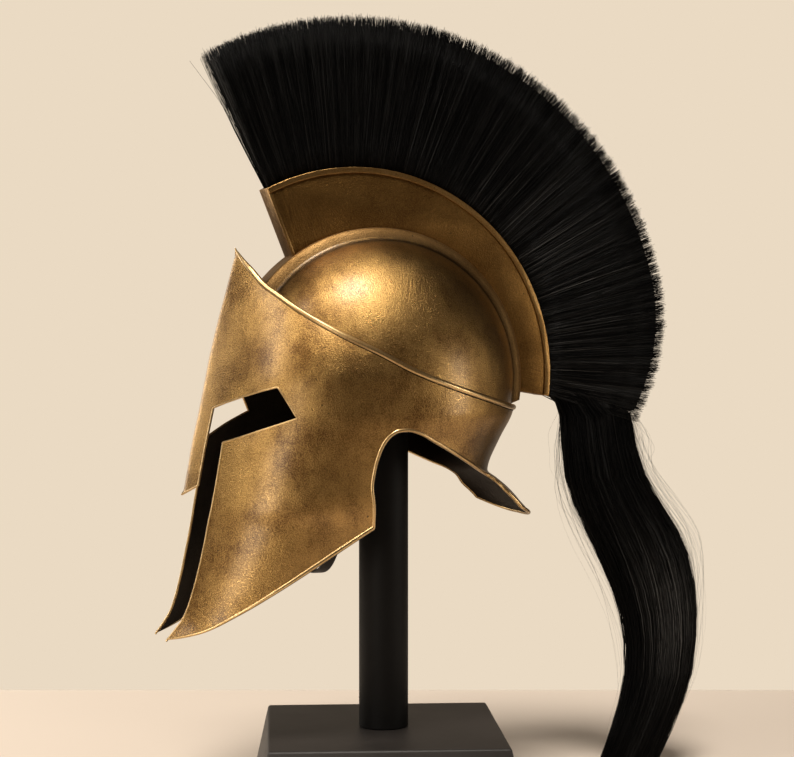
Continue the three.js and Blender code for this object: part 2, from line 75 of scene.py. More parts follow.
# %% Name the sizes
REACH = 0.132
HALF_WIDTH = 0.100
CENTRE = Vector((0, -0.008, 0.385))
SHEET = 0.0016
CLEARANCE = 0.0004
BAND_RISE = 0.0086
BAND_TOP = 0.015
BAND_FOOT = 0.023
BOWL_OVERLAP = 0.009
BROW_WEB_DROP = 0.017
BROW_BEAD = 0.0027
EDGE_BEAD = 0.0019
THIN_EDGE = 0.0009
ROD_ROUNDNESS = 5      # steps in each quarter of a rolled edge
BROW_TAPER = 0.030    # length over which the moulding grows from its point
SHADE_LINE_RADIUS = 0.00055      # radius of the painted shade line under the moulding
SHADE_LINE_DROP = 1.12    # how far the line lies below the moulding's middle, in shares of its radius
SHADE_LINE_SINK = 0.0003
GUARD_ROUND = 0.006   # how far the rolled rim's middle stays behind the guard's tip
JAW_SWELL = 0.75      # how much fuller the rolled rim is along the jaw
JAW_FULLEST = 0.235   # height where the jaw's rim is fullest
WIDE = 0.2            # half length of cutters, past both sides of the helmet
FULLNESS = 3.3        # how full the plate is between its keel and its widest place

PLATE_LEVELS = np.array([
    # up, keel, middle, back, side, round
    [0.97, 1.000, 0.00, 1.000, 0.66, 2.0],
    [0.80, 1.045, 0.00, 1.000, 0.67, 2.0],
    [0.62, 1.092, 0.00, 1.000, 0.72, 2.0],
    [0.50, 1.125, 0.00, 1.000, 0.795, 2.0],
    [0.39, 1.153, 0.00, 1.015, 0.88, 2.0],
    [0.28, 1.180, 0.00, 1.022, 0.947, 2.0],
    [0.15, 1.210, 0.00, 1.024, 1.005, 2.0],
    [0.00, 1.240, 0.00, 1.022, 1.035, 2.0],
    [-0.21, 1.283, 0.00, 1.002, 1.03, 2.0],
    [-0.42, 1.330, 0.08, 0.895, 0.99, 2.05],
    [-0.60, 1.363, 0.13, 0.800, 0.96, 2.2],
    [-0.645, 1.372, 0.14, 0.788, 0.955, 2.3],
    [-0.69, 1.380, 0.15, 0.845, 0.95, 2.4],
    [-0.76, 1.393, 0.16, 0.925, 0.945, 2.65],
    [-0.85, 1.408, 0.18, 1.005, 0.93, 2.9],
    [-0.97, 1.428, 0.21, 1.094, 0.89, 3.0],
    [-1.17, 1.475, 0.28, 0.900, 0.84, 3.0],
    [-1.42, 1.530, 0.36, 0.640, 0.78, 3.0],
    [-1.60, 1.590, 0.42, 0.500, 0.72, 3.0],
    [-1.74, 1.680, 0.48, 0.420, 0.68, 3.0],
    [-1.80, 1.740, 0.50, 0.400, 0.66, 3.0],
])[::-1]
BROW_EDGE = [
    # back, up
    (-1.015, 0.909), (-0.982, 0.824), (-0.934, 0.739), (-0.884, 0.656), (-0.813, 0.585),
    (-0.714, 0.492), (-0.573, 0.388), (-0.420, 0.296), (-0.215, 0.194), (0.026, 0.070),
    (0.291, -0.029), (0.597, -0.121), (0.792, -0.172), (0.888, -0.192), (1.005, -0.206),
]
EYE_EDGE = [
    (-1.205, -0.181), (-1.140, -0.143), (-1.052, -0.100), (-0.951, -0.059),
    (-0.865, -0.031), (-0.757, -0.239), (-0.961, -0.319), (-1.170, -0.411),
]
CHEEK_EDGE = [
    (-1.213, -0.663), (-1.255, -0.892), (-1.302, -1.132), (-1.371, -1.422),
    (-1.429, -1.591), (-1.480, -1.669), (-1.545, -1.752),
]
NASAL_EDGE = [(-1.394, -0.777), (-1.310, -0.708), (-1.264, -0.454), (-1.205, -0.181)]
JAW_EDGE = [
    (-1.534, -1.735), (-1.464, -1.720), (-1.324, -1.674), (-1.108, -1.548),
    (-0.888, -1.402), (-0.658, -1.249), (-0.480, -1.132), (-0.236, -0.978),
]
NOTCH_EDGE = [
    (-0.236, -0.978), (-0.244, -0.823), (-0.260, -0.702), (-0.245, -0.582), (-0.212, -0.463),
    (-0.154, -0.367), (-0.081, -0.325), (-0.025, -0.322), (0.071, -0.347), (0.172, -0.398),
    (0.321, -0.475), (0.464, -0.551), (0.601, -0.621), (0.700, -0.669), (0.767, -0.715),
    (0.830, -0.785), (0.891, -0.842), (0.935, -0.890),
]
GUARD_TIP = (1.092, -0.966)


def side(back, up):
    """A place seen from the side, as (y, z)."""
    return CENTRE.y + back * REACH, CENTRE.z + up * REACH


def hermite(known, values, wanted):
    """Smooth values through known places, without overshoot. known rises."""
    slope = np.diff(values) / np.diff(known)
    tangent = np.zeros(len(known))
    before, after = slope[:-1], slope[1:]
    same = before * after > 0
    tangent[1:-1][same] = (2 * before * after / (before + after + 1e-12))[same]
    wanted = np.clip(wanted, known[0], known[-1])
    i = np.clip(np.searchsorted(known, wanted) - 1, 0, len(known) - 2)
    span = known[i + 1] - known[i]
    t = (wanted - known[i]) / span
    return ((2 * t**3 - 3 * t**2 + 1) * values[i] + (t**3 - 2 * t**2 + t) * span * tangent[i]
            + (3 * t**2 - 2 * t**3) * values[i + 1] + (t**3 - t**2) * span * tangent[i + 1])


def plate_section(up):
    """Keel, middle and back as y, half width, and the power of the back's curve, at heights as shares."""
    levels = PLATE_LEVELS.T
    keel, middle, back, half, power = (hermite(levels[0], column, up) for column in levels[1:])
    keel, middle, back = (CENTRE.y + place * REACH for place in (-keel, -middle, back))
    return keel, middle, back, half * HALF_WIDTH, power


def plate_half_width(y, z):
    """x of the plate's outside at places seen from the side."""
    y, z = np.asarray(y, float), np.asarray(z, float)
    keel, middle, back, half, power = plate_section((z - CENTRE.z) / REACH)
    front = half * (1 - np.clip((middle - y) / (middle - keel), 0, 1) ** FULLNESS)
    rear = half * (1 - np.clip((y - middle) / (back - middle), 0, 1) ** power) ** (1 / power)
    return np.where(y < middle, front, rear)


print("half width beside the eyes, mm:", round(1000 * float(plate_half_width(-0.11, 0.36)), 1))

# %% [markdown]
# ## Helpers for modelling
# Two starts cover most pieces. A grid primitive is wrapped into a shell by giving each of its points a
# place, and a circle primitive is pulled to an outline and extruded across the helmet. Booleans then trim
# one with the other. A cutter leaves its own material on the faces that it makes, so those faces can be
# found and deleted, and the open sheet that is left gets its thickness from Solidify.

# %% Selection and joining
def deselect():
    bpy.ops.object.select_all(action="DESELECT")


def activate(piece):
    deselect()
    piece.select_set(True)
    bpy.context.view_layer.objects.active = piece


def join(pieces, name):
    activate(pieces[0])
    for piece in pieces:
        piece.select_set(True)
    if len(pieces) > 1:
        bpy.ops.object.join()
    pieces[0].name = name
    pieces[0].data.name = name
    return pieces[0]


def bake_place(piece):
    """Leaves the object at the origin, unturned, with its place in its mesh."""
    activate(piece)
    bpy.ops.object.transform_apply(location=True, rotation=True, scale=True)
    return piece


def add_modifier(piece, kind, **settings):
    activate(piece)
    modifier = piece.modifiers.new(kind.title(), kind)
    for key, value in settings.items():
        setattr(modifier, key, value)
    bpy.ops.object.modifier_apply(modifier=modifier.name)
    return piece


def smooth(piece, angle=35):
    activate(piece)
    bpy.ops.object.shade_smooth_by_angle(angle=math.radians(angle))
    return piece


# %% Starts
def smoothstep(value):
    value = np.clip(value, 0, 1)
    return value * value * (3 - 2 * value)


def shaped_grid(name, columns, rows, place):
    """A grid primitive wrapped round: place(u, v) gives x, y, z for shares round and along."""
    deselect()
    bpy.ops.mesh.primitive_grid_add(x_subdivisions=columns, y_subdivisions=rows, size=1)
    piece = bpy.context.object
    piece.name = piece.data.name = name
    mesh = piece.data
    flat = np.empty(3 * len(mesh.vertices))
    mesh.vertices.foreach_get("co", flat)
    flat = flat.reshape(-1, 3) + 0.5
    placed = np.stack(place(flat[:, 0], flat[:, 1]), axis=1)
    mesh.vertices.foreach_set("co", placed.ravel())
    bpy.ops.object.mode_set(mode="EDIT")
    bpy.ops.mesh.select_all(action="SELECT")
    bpy.ops.mesh.remove_doubles(threshold=1e-6)
    bpy.ops.mesh.fill_holes(sides=0)
    bpy.ops.mesh.select_all(action="SELECT")
    bpy.ops.mesh.normals_make_consistent(inside=False)
    bpy.ops.object.mode_set(mode="OBJECT")
    return piece


def side_prism(name, outline, half_width, material=None):
    """A circle primitive pulled to an outline seen from the side, and extruded across the helmet."""
    deselect()
    bpy.ops.mesh.primitive_circle_add(vertices=len(outline), fill_type="NGON")
    piece = bpy.context.object
    piece.name = piece.data.name = name
    for vertex, (y, z) in zip(piece.data.vertices, outline):
        vertex.co = (-half_width, y, z)
    bpy.ops.object.mode_set(mode="EDIT")
    bpy.ops.mesh.select_all(action="SELECT")
    bpy.ops.mesh.extrude_region_move(TRANSFORM_OT_translate={"value": (2 * half_width, 0, 0)})
    bpy.ops.mesh.select_all(action="SELECT")
    bpy.ops.mesh.normals_make_consistent(inside=False)
    bpy.ops.object.mode_set(mode="OBJECT")
    if material:
        piece.data.materials.append(material)
    return piece


def rod(name, points, radius, swell=None):
    """A round rod along points: a bevelled curve turned into a mesh. swell scales it along its way."""
    curve = bpy.data.curves.new(name, "CURVE")
    curve.dimensions = "3D"
    spline = curve.splines.new("POLY")
    spline.points.add(len(points) - 1)
    for target, point, share in zip(spline.points, points, np.ones(len(points)) if swell is None else swell):
        target.co = (*point, 1)
        target.radius = share
    curve.bevel_depth = radius
    curve.bevel_resolution = ROD_ROUNDNESS
    curve.use_fill_caps = True
    piece = bpy.data.objects.new(name, curve)
    bpy.context.collection.objects.link(piece)
    activate(piece)
    bpy.ops.object.convert(target="MESH")
    return smooth(bpy.context.object, 60)


# %% Cuts
def cut(piece, cutter, operation="DIFFERENCE"):
    """Trims a piece with a cutter, which is used up. New faces keep the cutter's material."""
    add_modifier(piece, "BOOLEAN", operation=operation, object=cutter, solver="EXACT",
                 material_mode="TRANSFER")
    bpy.data.objects.remove(cutter)
    return piece


def drop_faces_of(piece, material):
    """Deletes the faces that cutters left."""
    wanted = {i for i, m in enumerate(piece.data.materials) if m == material}
    shape = bmesh.new()
    shape.from_mesh(piece.data)
    cut_faces = [face for face in shape.faces if face.material_index in wanted]
    bmesh.ops.delete(shape, geom=cut_faces, context="FACES")
    shape.to_mesh(piece.data)
    shape.free()
    return piece


def fine_line(edge, step=0.0015, rounded=False):
    """Points close together along an edge seen from the side, as (y, z)."""
    corners = np.array([side(*corner) for corner in edge])
    length = np.concatenate([[0], np.cumsum(np.linalg.norm(np.diff(corners, axis=0), axis=1))])
    places = np.arange(0, length[-1], step)
    places = np.append(places, length[-1])
    if rounded:
        return np.stack([hermite(length, corners[:, k], places) for k in (0, 1)], axis=1)
    return np.stack([np.interp(places, length, corners[:, k]) for k in (0, 1)], axis=1)


def on_plate(line, inset=0.0):
    """Lifts a line seen from the side on to the plate's left side."""
    line = np.asarray(line)
    return np.column_stack([plate_half_width(line[:, 0], line[:, 1]) - inset, line])


def both_sides(points):
    """The same line on the wearer's right, run back again."""
    return points[::-1] * np.array([-1, 1, 1])


def mark_painted_shade(piece, amount):
    """Writes how much painted shade each point gets, for the finish to read."""
    painted_shade = piece.data.attributes.new("painted_shade", "FLOAT", "POINT")
    painted_shade.data.foreach_set("value", amount.astype(np.float32))


print("helpers ready")

# %% [markdown]
# ## Finishes
# Aged bronze is not one colour. Thin brown patina lies over the golden metal in clouds, fine pits and
# speckles break up the shine, and the edges are a lighter bronze: partly wear from handling, partly
# painted highlight. One node group makes these layers from noise at four scales, and each bronze material
# uses it with its own colours. The noise reads object coordinates, in metres, so a scale of 16 gives clouds
# a few centimetres wide. A point attribute darkens the bronze as painted shade in the cove beside the band
# and low on the neck guard, and the crest box also gets fine brush marks that follow its curve. A clear
# coat stands for the lacquer on the outer skin.

# %% Node group for aged metal
def new_group(name, inputs, outputs):
    group = bpy.data.node_groups.new(name, "ShaderNodeTree")
    for label, kind, value in inputs:
        socket = group.interface.new_socket(label, in_out="INPUT", socket_type=kind)
        socket.default_value = value
    for label, kind in outputs:
        group.interface.new_socket(label, in_out="OUTPUT", socket_type=kind)
    return group, group.nodes.new("NodeGroupInput"), group.nodes.new("NodeGroupOutput")


def noise(tree, scale, detail=4.0, roughness=0.55, stretch=(1, 1, 1)):
    """Noise on object coordinates, stretched where the mark is drawn out."""
    coordinates = tree.nodes.new("ShaderNodeTexCoord")
    mapping = tree.nodes.new("ShaderNodeMapping")
    mapping.inputs["Scale"].default_value = stretch
    texture = tree.nodes.new("ShaderNodeTexNoise")
    texture.inputs["Scale"].default_value = scale
    texture.inputs["Detail"].default_value = detail
    texture.inputs["Roughness"].default_value = roughness
    tree.links.new(coordinates.outputs["Object"], mapping.inputs["Vector"])
    tree.links.new(mapping.outputs["Vector"], texture.inputs["Vector"])
    return texture.outputs["Fac"]


def ramp(tree, value, low, high, out_low=0.0, out_high=1.0):
    node = tree.nodes.new("ShaderNodeMapRange")
    for label, number in (("From Min", low), ("From Max", high), ("To Min", out_low), ("To Max", out_high)):
        node.inputs[label].default_value = number
    tree.links.new(value, node.inputs["Value"])
    return node.outputs["Result"]


def mix_colour(tree, factor, a, b):
    node = tree.nodes.new("ShaderNodeMix")
    node.data_type = "RGBA"
    for socket, value in ((node.inputs["Factor"], factor), (node.inputs["A"], a), (node.inputs["B"], b)):
        if isinstance(value, bpy.types.NodeSocket):
            tree.links.new(value, socket)
        else:
            socket.default_value = value
    return node.outputs["Result"]


def math_node(tree, operation, a, b):
    node = tree.nodes.new("ShaderNodeMath")
    node.operation = operation
    for socket, value in zip(node.inputs, (a, b)):
        if isinstance(value, bpy.types.NodeSocket):
            tree.links.new(value, socket)
        else:
            socket.default_value = value
    return node.outputs[0]


PIT_BROWN = (0.03, 0.018, 0.008, 1)
# Colour of the painted shade in the cove beside the band and low on the neck guard.
PAINTED_SHADE_COLOUR = (0.014, 0.008, 0.004, 1)


def aged_metal_group():
    group, given, made = new_group(
        "Aged Metal",
        [("Metal", "NodeSocketColor", (0.5, 0.3, 0.09, 1)),
         ("Patina", "NodeSocketColor", (0.2, 0.1, 0.03, 1)),
         ("Shine", "NodeSocketFloat", 0.32)],
        [("Color", "NodeSocketColor"), ("Roughness", "NodeSocketFloat"), ("Height", "NodeSocketFloat")])
    clouds = ramp(group, noise(group, 16, 5, 0.6), 0.42, 0.66)
    streaks = ramp(group, noise(group, 55, 6, 0.65, (1, 1, 0.45)), 0.40, 0.72)
    speckle = ramp(group, noise(group, 950, 1.5, 0.6), 0.36, 0.64)
    pits = ramp(group, noise(group, 300, 2, 0.5), 0.71, 0.77)
    dirt = math_node(group, "ADD", math_node(group, "MULTIPLY", clouds, 0.55),
                     math_node(group, "MULTIPLY", streaks, 0.30))
    dirt = math_node(group, "ADD", dirt, math_node(group, "MULTIPLY", speckle, 0.50))
    colour = mix_colour(group, dirt, given.outputs["Metal"], given.outputs["Patina"])
    colour = mix_colour(group, math_node(group, "MULTIPLY", pits, 0.8), colour, PIT_BROWN)
    painted_shade = group.nodes.new("ShaderNodeAttribute")
    painted_shade.attribute_name = "painted_shade"
    # Painted shade: the point attribute darkens the bronze towards a near-black brown.
    colour = mix_colour(group, painted_shade.outputs["Fac"], colour, PAINTED_SHADE_COLOUR)
    group.links.new(colour, made.inputs["Color"])
    rough = math_node(group, "ADD", given.outputs["Shine"], math_node(group, "MULTIPLY", dirt, 0.10))
    rough = math_node(group, "ADD", rough, math_node(group, "MULTIPLY", pits, 0.2))
    group.links.new(rough, made.inputs["Roughness"])
    height = math_node(group, "SUBTRACT", math_node(group, "MULTIPLY", speckle, 0.5),
                       math_node(group, "MULTIPLY", pits, 0.4))
    group.links.new(height, made.inputs["Height"])
    return group


AGED_METAL = aged_metal_group()


def new_material(name, metallic=0.0, roughness=0.5, colour=(0.5, 0.5, 0.5, 1)):
    material = bpy.data.materials.new(name)
    material.use_nodes = True
    shader = material.node_tree.nodes["Principled BSDF"]
    shader.inputs["Metallic"].default_value = metallic
    shader.inputs["Roughness"].default_value = roughness
    shader.inputs["Base Color"].default_value = colour
    return material, material.node_tree, shader


def bump_to(tree, shader, height, distance):
    node = tree.nodes.new("ShaderNodeBump")
    node.inputs["Distance"].default_value = distance
    node.inputs["Strength"].default_value = 1
    tree.links.new(height, node.inputs["Height"])
    tree.links.new(node.outputs["Normal"], shader.inputs["Normal"])


def bronze_material(name, metal, patina, shine, relief, lacquer):
    material, tree, shader = new_material(name, metallic=1.0)
    shader.inputs["Coat Weight"].default_value = lacquer
    shader.inputs["Coat Roughness"].default_value = 0.28
    aged = tree.nodes.new("ShaderNodeGroup")
    aged.node_tree = AGED_METAL
    aged.inputs["Metal"].default_value = metal
    aged.inputs["Patina"].default_value = patina
    aged.inputs["Shine"].default_value = shine
    tree.links.new(aged.outputs["Color"], shader.inputs["Base Color"])
    tree.links.new(aged.outputs["Roughness"], shader.inputs["Roughness"])
    bump_to(tree, shader, aged.outputs["Height"], relief)
    return material


BRONZES = [
    bronze_material(name, (*metal, 1), (*patina, 1), shine, relief, lacquer)
    for name, metal, patina, shine, relief, lacquer in [
        # name, metal, patina, shine, relief in metres, lacquer
        ("aged_bronze", (0.56, 0.335, 0.108), (0.125, 0.058, 0.013), 0.27, 0.00030, 0.5),
        # painted shade: a darker copy of the bronze for the raised band
        ("band_bronze_shaded", (0.36, 0.215, 0.085), (0.16, 0.085, 0.028), 0.42, 0.00025, 0.0),
        ("crest_bronze", (0.36, 0.192, 0.055), (0.14, 0.068, 0.018), 0.36, 0.00020, 0.0),
        ("rim_bronze", (0.52, 0.31, 0.115), (0.24, 0.125, 0.038), 0.30, 0.00012, 0.0),
        # partly wear and partly painted highlight: a lighter bronze for the wires on the edges
        ("worn_and_highlit_bronze", (0.74, 0.52, 0.25), (0.44, 0.27, 0.10), 0.26, 0.00006, 0.6),
        # the inner wall's own dark finish, also used for the painted shade line under the moulding
        ("dark_inside_and_shade", (0.035, 0.026, 0.018), (0.012, 0.009, 0.007), 0.55, 0.00012, 0.0),
    ]
]
BRONZE, BRONZE_BAND_SHADED, BRONZE_SIDE, BRONZE_RIM, BRONZE_WORN_AND_LIT, BRONZE_INSIDE_AND_SHADE = BRONZES
CUTTER = bpy.data.materials.new("cutter")


BRUSH_SCALE = (28, 1300, 1)
BRUSH_BROWN = (0.045, 0.022, 0.008, 1)


def brush_marks(material):
    """Fine marks drawn out along the piece's length, from its UV map in metres."""
    tree = material.node_tree
    shader = tree.nodes["Principled BSDF"]
    place = tree.nodes.new("ShaderNodeUVMap")
    mapping = tree.nodes.new("ShaderNodeMapping")
    mapping.inputs["Scale"].default_value = BRUSH_SCALE
    texture = tree.nodes.new("ShaderNodeTexNoise")
    texture.inputs["Scale"].default_value = 1
    texture.inputs["Detail"].default_value = 3
    tree.links.new(place.outputs["UV"], mapping.inputs["Vector"])
    tree.links.new(mapping.outputs["Vector"], texture.inputs["Vector"])
    colour = shader.inputs["Base Color"].links[0].from_socket
    marks = ramp(tree, texture.outputs["Fac"], 0.35, 0.68, 0.0, 0.6)
    marked = mix_colour(tree, marks, colour, BRUSH_BROWN)
    tree.links.new(marked, shader.inputs["Base Color"])


brush_marks(BRONZE_SIDE)
print("bronze finishes:", [finish.name for finish in BRONZES])

# %% [markdown]
# ## Face plate
# The plate, cheeks and neck guard are one hammered sheet with a sharp keel down the front. A smith would
# raise it over stakes, and here a grid is wrapped through the level sections instead, because they give a
# clean curved skin. The brow line, the eyes with the slot between the cheeks, and the lower edge are cut
# across the helmet.

# %% Wrap the plate
FRONT_SHARE = 0.60
KEEL_ROUND = 0.0026   # radius that softens the keel's crease


def plate_place(u, v, inset=0.0):
    up = PLATE_LEVELS[0, 0] + (PLATE_LEVELS[-1, 0] - PLATE_LEVELS[0, 0]) * v
    keel, middle, back, half, power = plate_section(up)
    keel, back, half = keel + inset, back - inset, half - inset
    h = 1 - np.abs(2 * u - 1)
    left = np.where(u < 0.5, 1.0, -1.0)
    t = 1 - np.clip(h / FRONT_SHARE, 0, 1) ** 1.25
    angle = np.clip((h - FRONT_SHARE) / (1 - FRONT_SHARE), 0, 1) * math.pi / 2
    front = h < FRONT_SHARE
    out, along = (np.clip(part, 0, 1) ** (2 / power) for part in (np.cos(angle), np.sin(angle)))
    x = np.where(front, half * (1 - t**FULLNESS), half * out)
    y = np.where(front, middle - t * (middle - keel), middle + (back - middle) * along)
    blunt = (np.sqrt(x**2 + KEEL_ROUND**2) - np.abs(x)) * (middle - keel) / (FULLNESS * half)
    y = np.where(front, y + blunt, y)
    x = np.where(np.abs(x) < 1e-9, 0.0, x)
    return left * x, y, CENTRE.z + up * REACH


def above_brow(drop=0.0):
    edge = [(y, z - drop) for y, z in fine_line(BROW_EDGE, 0.004, rounded=True)]
    back, top = CENTRE.y + 2.2 * REACH, CENTRE.z + 3 * REACH
    front = CENTRE.y - 2.2 * REACH
    return [(front, top), (front, edge[0][1]), *edge, (back, edge[-1][1]), (back, top)]


def below_brow(drop=0.0):
    edge = [(y, z - drop) for y, z in fine_line(BROW_EDGE, 0.004, rounded=True)]
    back, low = CENTRE.y + 2.2 * REACH, CENTRE.z - 2.4 * REACH
    front = CENTRE.y - 2.2 * REACH
    return [(front, low), (back, low), (back, edge[-1][1]), *edge[::-1], (front, edge[0][1])]


mask = shaped_grid("face_plate", 240, 170, plate_place)
mask.data.materials.append(BRONZE)
notch_line = fine_line(NOTCH_EDGE, 0.004, rounded=True)
jaw_line = fine_line(JAW_EDGE, 0.004, rounded=True)
cheek_line = fine_line([EYE_EDGE[-1], *CHEEK_EDGE], 0.004, rounded=True)
under = [side(-2.1, -2.2), side(1.6, -2.2), side(1.6, GUARD_TIP[1]), side(*GUARD_TIP),
         *notch_line[::-1], *jaw_line[::-1][1:], side(-2.1, -1.84)]
face_hole = [*(side(*corner) for corner in EYE_EDGE), *cheek_line[1:], side(-2.1, -1.9),
             side(-2.1, NASAL_EDGE[0][1]), *(side(*corner) for corner in NASAL_EDGE[:-1])]
for name, outline in (("brow", above_brow()), ("under", under), ("face", face_hole)):
    cut(mask, side_prism(name + "_cutter", outline, WIDE, CUTTER))
drop_faces_of(mask, CUTTER)
print("face plate has", len(mask.data.polygons), "faces before it gets its thickness")

# %% [markdown]
# The open sheet gets its thickness inwards, and its inner wall takes the dark, unpolished finish. A round
# wire is then run along every trimmed edge: a bold moulding on the brow line, a rolled rim on the jaw,
# notch and neck guard, and a fine line on the rims of the eyes and the slot. The wires are a lighter
# bronze, partly polish from handling and partly painted highlight. A thin dark wire under the moulding
# is painted shade.

# %% Thicken the plate and roll its edges
def thicken(piece):
    piece.data.materials.clear()
    piece.data.materials.append(BRONZE)
    piece.data.materials.append(BRONZE_INSIDE_AND_SHADE)
    piece.data.polygons.foreach_set("material_index", np.zeros(len(piece.data.polygons), int))
    add_modifier(piece, "SOLIDIFY", thickness=SHEET, offset=-1, use_even_offset=True, material_offset=1)
    return smooth(piece, 50)


def wire(name, points, radius, material, swell=None):
    piece = rod(name, points, radius, swell)
    piece.data.materials.clear()
    piece.data.materials.append(material)
    return piece


thicken(mask)
brow_line = on_plate(fine_line(BROW_EDGE, 0.002, rounded=True), SHEET / 2)
brow_line[0, 0] = 0
brow_line[-1, 0] = 0
from_peak = np.concatenate([[0], np.cumsum(np.linalg.norm(np.diff(brow_line, axis=0), axis=1))])
brow_swell = 0.16 + 0.84 * np.clip(from_peak / BROW_TAPER, 0, 1) ** 0.7
brow = wire("brow_moulding", np.vstack([brow_line[:-1], both_sides(brow_line)]), BROW_BEAD, BRONZE_WORN_AND_LIT,
            swell=np.concatenate([brow_swell[:-1], brow_swell[::-1]]))
# Painted shade: a thin wire in the dark inner finish stands for the shadow line under the moulding.
under_brow = fine_line(BROW_EDGE, 0.002, rounded=True)[2:]
under_brow[:, 1] -= BROW_BEAD * brow_swell[2:] * SHADE_LINE_DROP
shade_line_points = on_plate(under_brow, SHADE_LINE_SINK)
shade_line_points[-1, 0] = 0
shade_line = wire("brow_shade_line", np.vstack([shade_line_points[:-1], both_sides(shade_line_points)]), SHADE_LINE_RADIUS, BRONZE_INSIDE_AND_SHADE)
tip = np.array([[0, *side(GUARD_TIP[0] - GUARD_ROUND, GUARD_TIP[1])]])
jaw_part = on_plate(fine_line(JAW_EDGE, 0.0015, rounded=True), SHEET / 2)[:-1]
jaw_count = len(jaw_part)
to_tip = 1 - (1 - np.linspace(0, 1, 26)[1:-1, None]) ** 3
guard_end = np.array(side(*NOTCH_EDGE[-1])) * (1 - to_tip) + np.array(side(*GUARD_TIP)) * to_tip
lower_line = np.vstack([jaw_part, on_plate(fine_line(NOTCH_EDGE, 0.0015, rounded=True), SHEET / 2),
                        on_plate(guard_end, SHEET / 2)])
along_jaw = np.clip(1 - np.abs(lower_line[:, 2] - JAW_FULLEST) / (JAW_FULLEST - lower_line[0, 2]), 0, 1)
swell = np.where(np.arange(len(lower_line)) < jaw_count, 0.55 + JAW_SWELL * along_jaw**0.6, 0.95)
lower = wire("rolled_rim", np.vstack([lower_line, tip, both_sides(lower_line)]), EDGE_BEAD, BRONZE_WORN_AND_LIT,
             swell=np.concatenate([swell, [0.8], swell[::-1]]))
thin_lines = []
for line in (fine_line(EYE_EDGE, 0.002), fine_line([EYE_EDGE[-1], *CHEEK_EDGE], 0.002, rounded=True),
             fine_line(NASAL_EDGE[1:], 0.002), fine_line(NASAL_EDGE[:2], 0.001)):
    left = on_plate(line, SHEET / 2)
    thin_lines += [left, left * np.array([-1, 1, 1])]
edges = [wire("thin_edge", line, THIN_EDGE, BRONZE_WORN_AND_LIT) for line in thin_lines]
print("lower edge runs", round(1000 * sum(np.linalg.norm(np.diff(lower_line, axis=0), axis=1))), "mm a side")

# %% [markdown]
# Behind the brow's peak the plate stands clear of the bowl. A shallow web closes that valley, so that no
# light falls on the wearer's forehead. It is the slice of the plate's inside between two copies of the
# brow line.

# %% Close the valley behind the brow
NECK_FRONT = 0.045    # y behind which the low neck gets painted shade
NECK_TOP = 0.352      # height below which it is
NECK_FADE = 0.03
NECK_SHADE = 0.6


def bowl_ball(offset, rings=72):
    """The bowl's ellipsoid, with its poles at the ears."""
    deselect()
    bpy.ops.mesh.primitive_uv_sphere_add(segments=2 * rings, ring_count=rings, radius=1, location=CENTRE,
                                         rotation=(0, math.pi / 2, 0))
    ball = bpy.context.object
    bake_place(ball)
    for vertex in ball.data.vertices:
        away = vertex.co - CENTRE
        vertex.co = CENTRE + Vector((away.x * (HALF_WIDTH + offset), away.y * (REACH + offset),
                                     away.z * (REACH + offset)))
    return ball


web = shaped_grid("brow_web", 120, 90, lambda u, v: plate_place(u, v, SHEET / 2))
front_corners = [side(-2, -0.5), side(-0.5, -0.5), side(-0.5, 1.2), side(-2, 1.2)]
cut(web, side_prism("front_block", front_corners, WIDE), "INTERSECT")
cut(web, side_prism("web_top", above_brow(BROW_WEB_DROP), WIDE))
cut(web, side_prism("web_floor", below_brow(BROW_WEB_DROP + SHEET), WIDE))
cut(web, bowl_ball(CLEARANCE))
web.data.materials.clear()
web.data.materials.append(BRONZE)
smooth(web)
# Painted shade: the low back of the neck guard is darkened through the point attribute.
places = np.array([vertex.co for vertex in mask.data.vertices])
from_cheek = smoothstep((places[:, 1] - NECK_FRONT) / NECK_FADE)
low_neck = from_cheek * smoothstep((NECK_TOP - places[:, 2]) / NECK_FADE)
mark_painted_shade(mask, NECK_SHADE * low_neck)
face_mask = join([mask, web, brow, shade_line, lower, *edges], "helmet_face")
print("face mask:", len(face_mask.data.polygons), "faces")

# %% [markdown]
# ## Bowl
# A sphere primitive with its poles at the ears is stretched into the bowl. The band along its middle line
# is raised by moving points outwards by how near they are to the middle, and it dies away above the
# moulding.

# %% Raise the bowl
COVE_WIDTH = 0.0035   # half width of the painted shade line in the cove beside the band
COVE_SHADE = 0.85


def brow_height(y):
    line = fine_line(BROW_EDGE, 0.002, rounded=True)
    return np.interp(y, line[:, 0], line[:, 1])


bowl = bowl_ball(0, rings=150)
mesh = bowl.data
points = np.empty(3 * len(mesh.vertices))
mesh.vertices.foreach_get("co", points)
points = points.reshape(-1, 3)
away = points - np.array(CENTRE)
radius = np.hypot(away[:, 1], away[:, 2])
band = smoothstep((BAND_FOOT - np.abs(points[:, 0])) / (BAND_FOOT - BAND_TOP))
dying = smoothstep((points[:, 2] - brow_height(points[:, 1]) - 0.003) / 0.004)
band *= np.where(points[:, 1] > 0, dying, 1)
wanted = radius + (REACH + BAND_RISE - radius) * band
points[:, 1:] = np.array(CENTRE)[1:] + away[:, 1:] * (wanted / np.maximum(radius, 1e-6))[:, None]
mesh.vertices.foreach_set("co", points.ravel())
bowl.data.materials.append(BRONZE)
cut(bowl, side_prism("bowl_cutter", below_brow(BOWL_OVERLAP), WIDE, CUTTER))
drop_faces_of(bowl, CUTTER)
thicken(bowl)
bowl.name = bowl.data.name = "helmet_bowl"
# The raised band takes the darker copy of the bronze, which is painted shade.
bowl.data.materials.append(BRONZE_BAND_SHADED)
for face in bowl.data.polygons:
    if face.material_index == 0 and abs(face.center.x) < BAND_FOOT - 0.002:
        face.material_index = 2
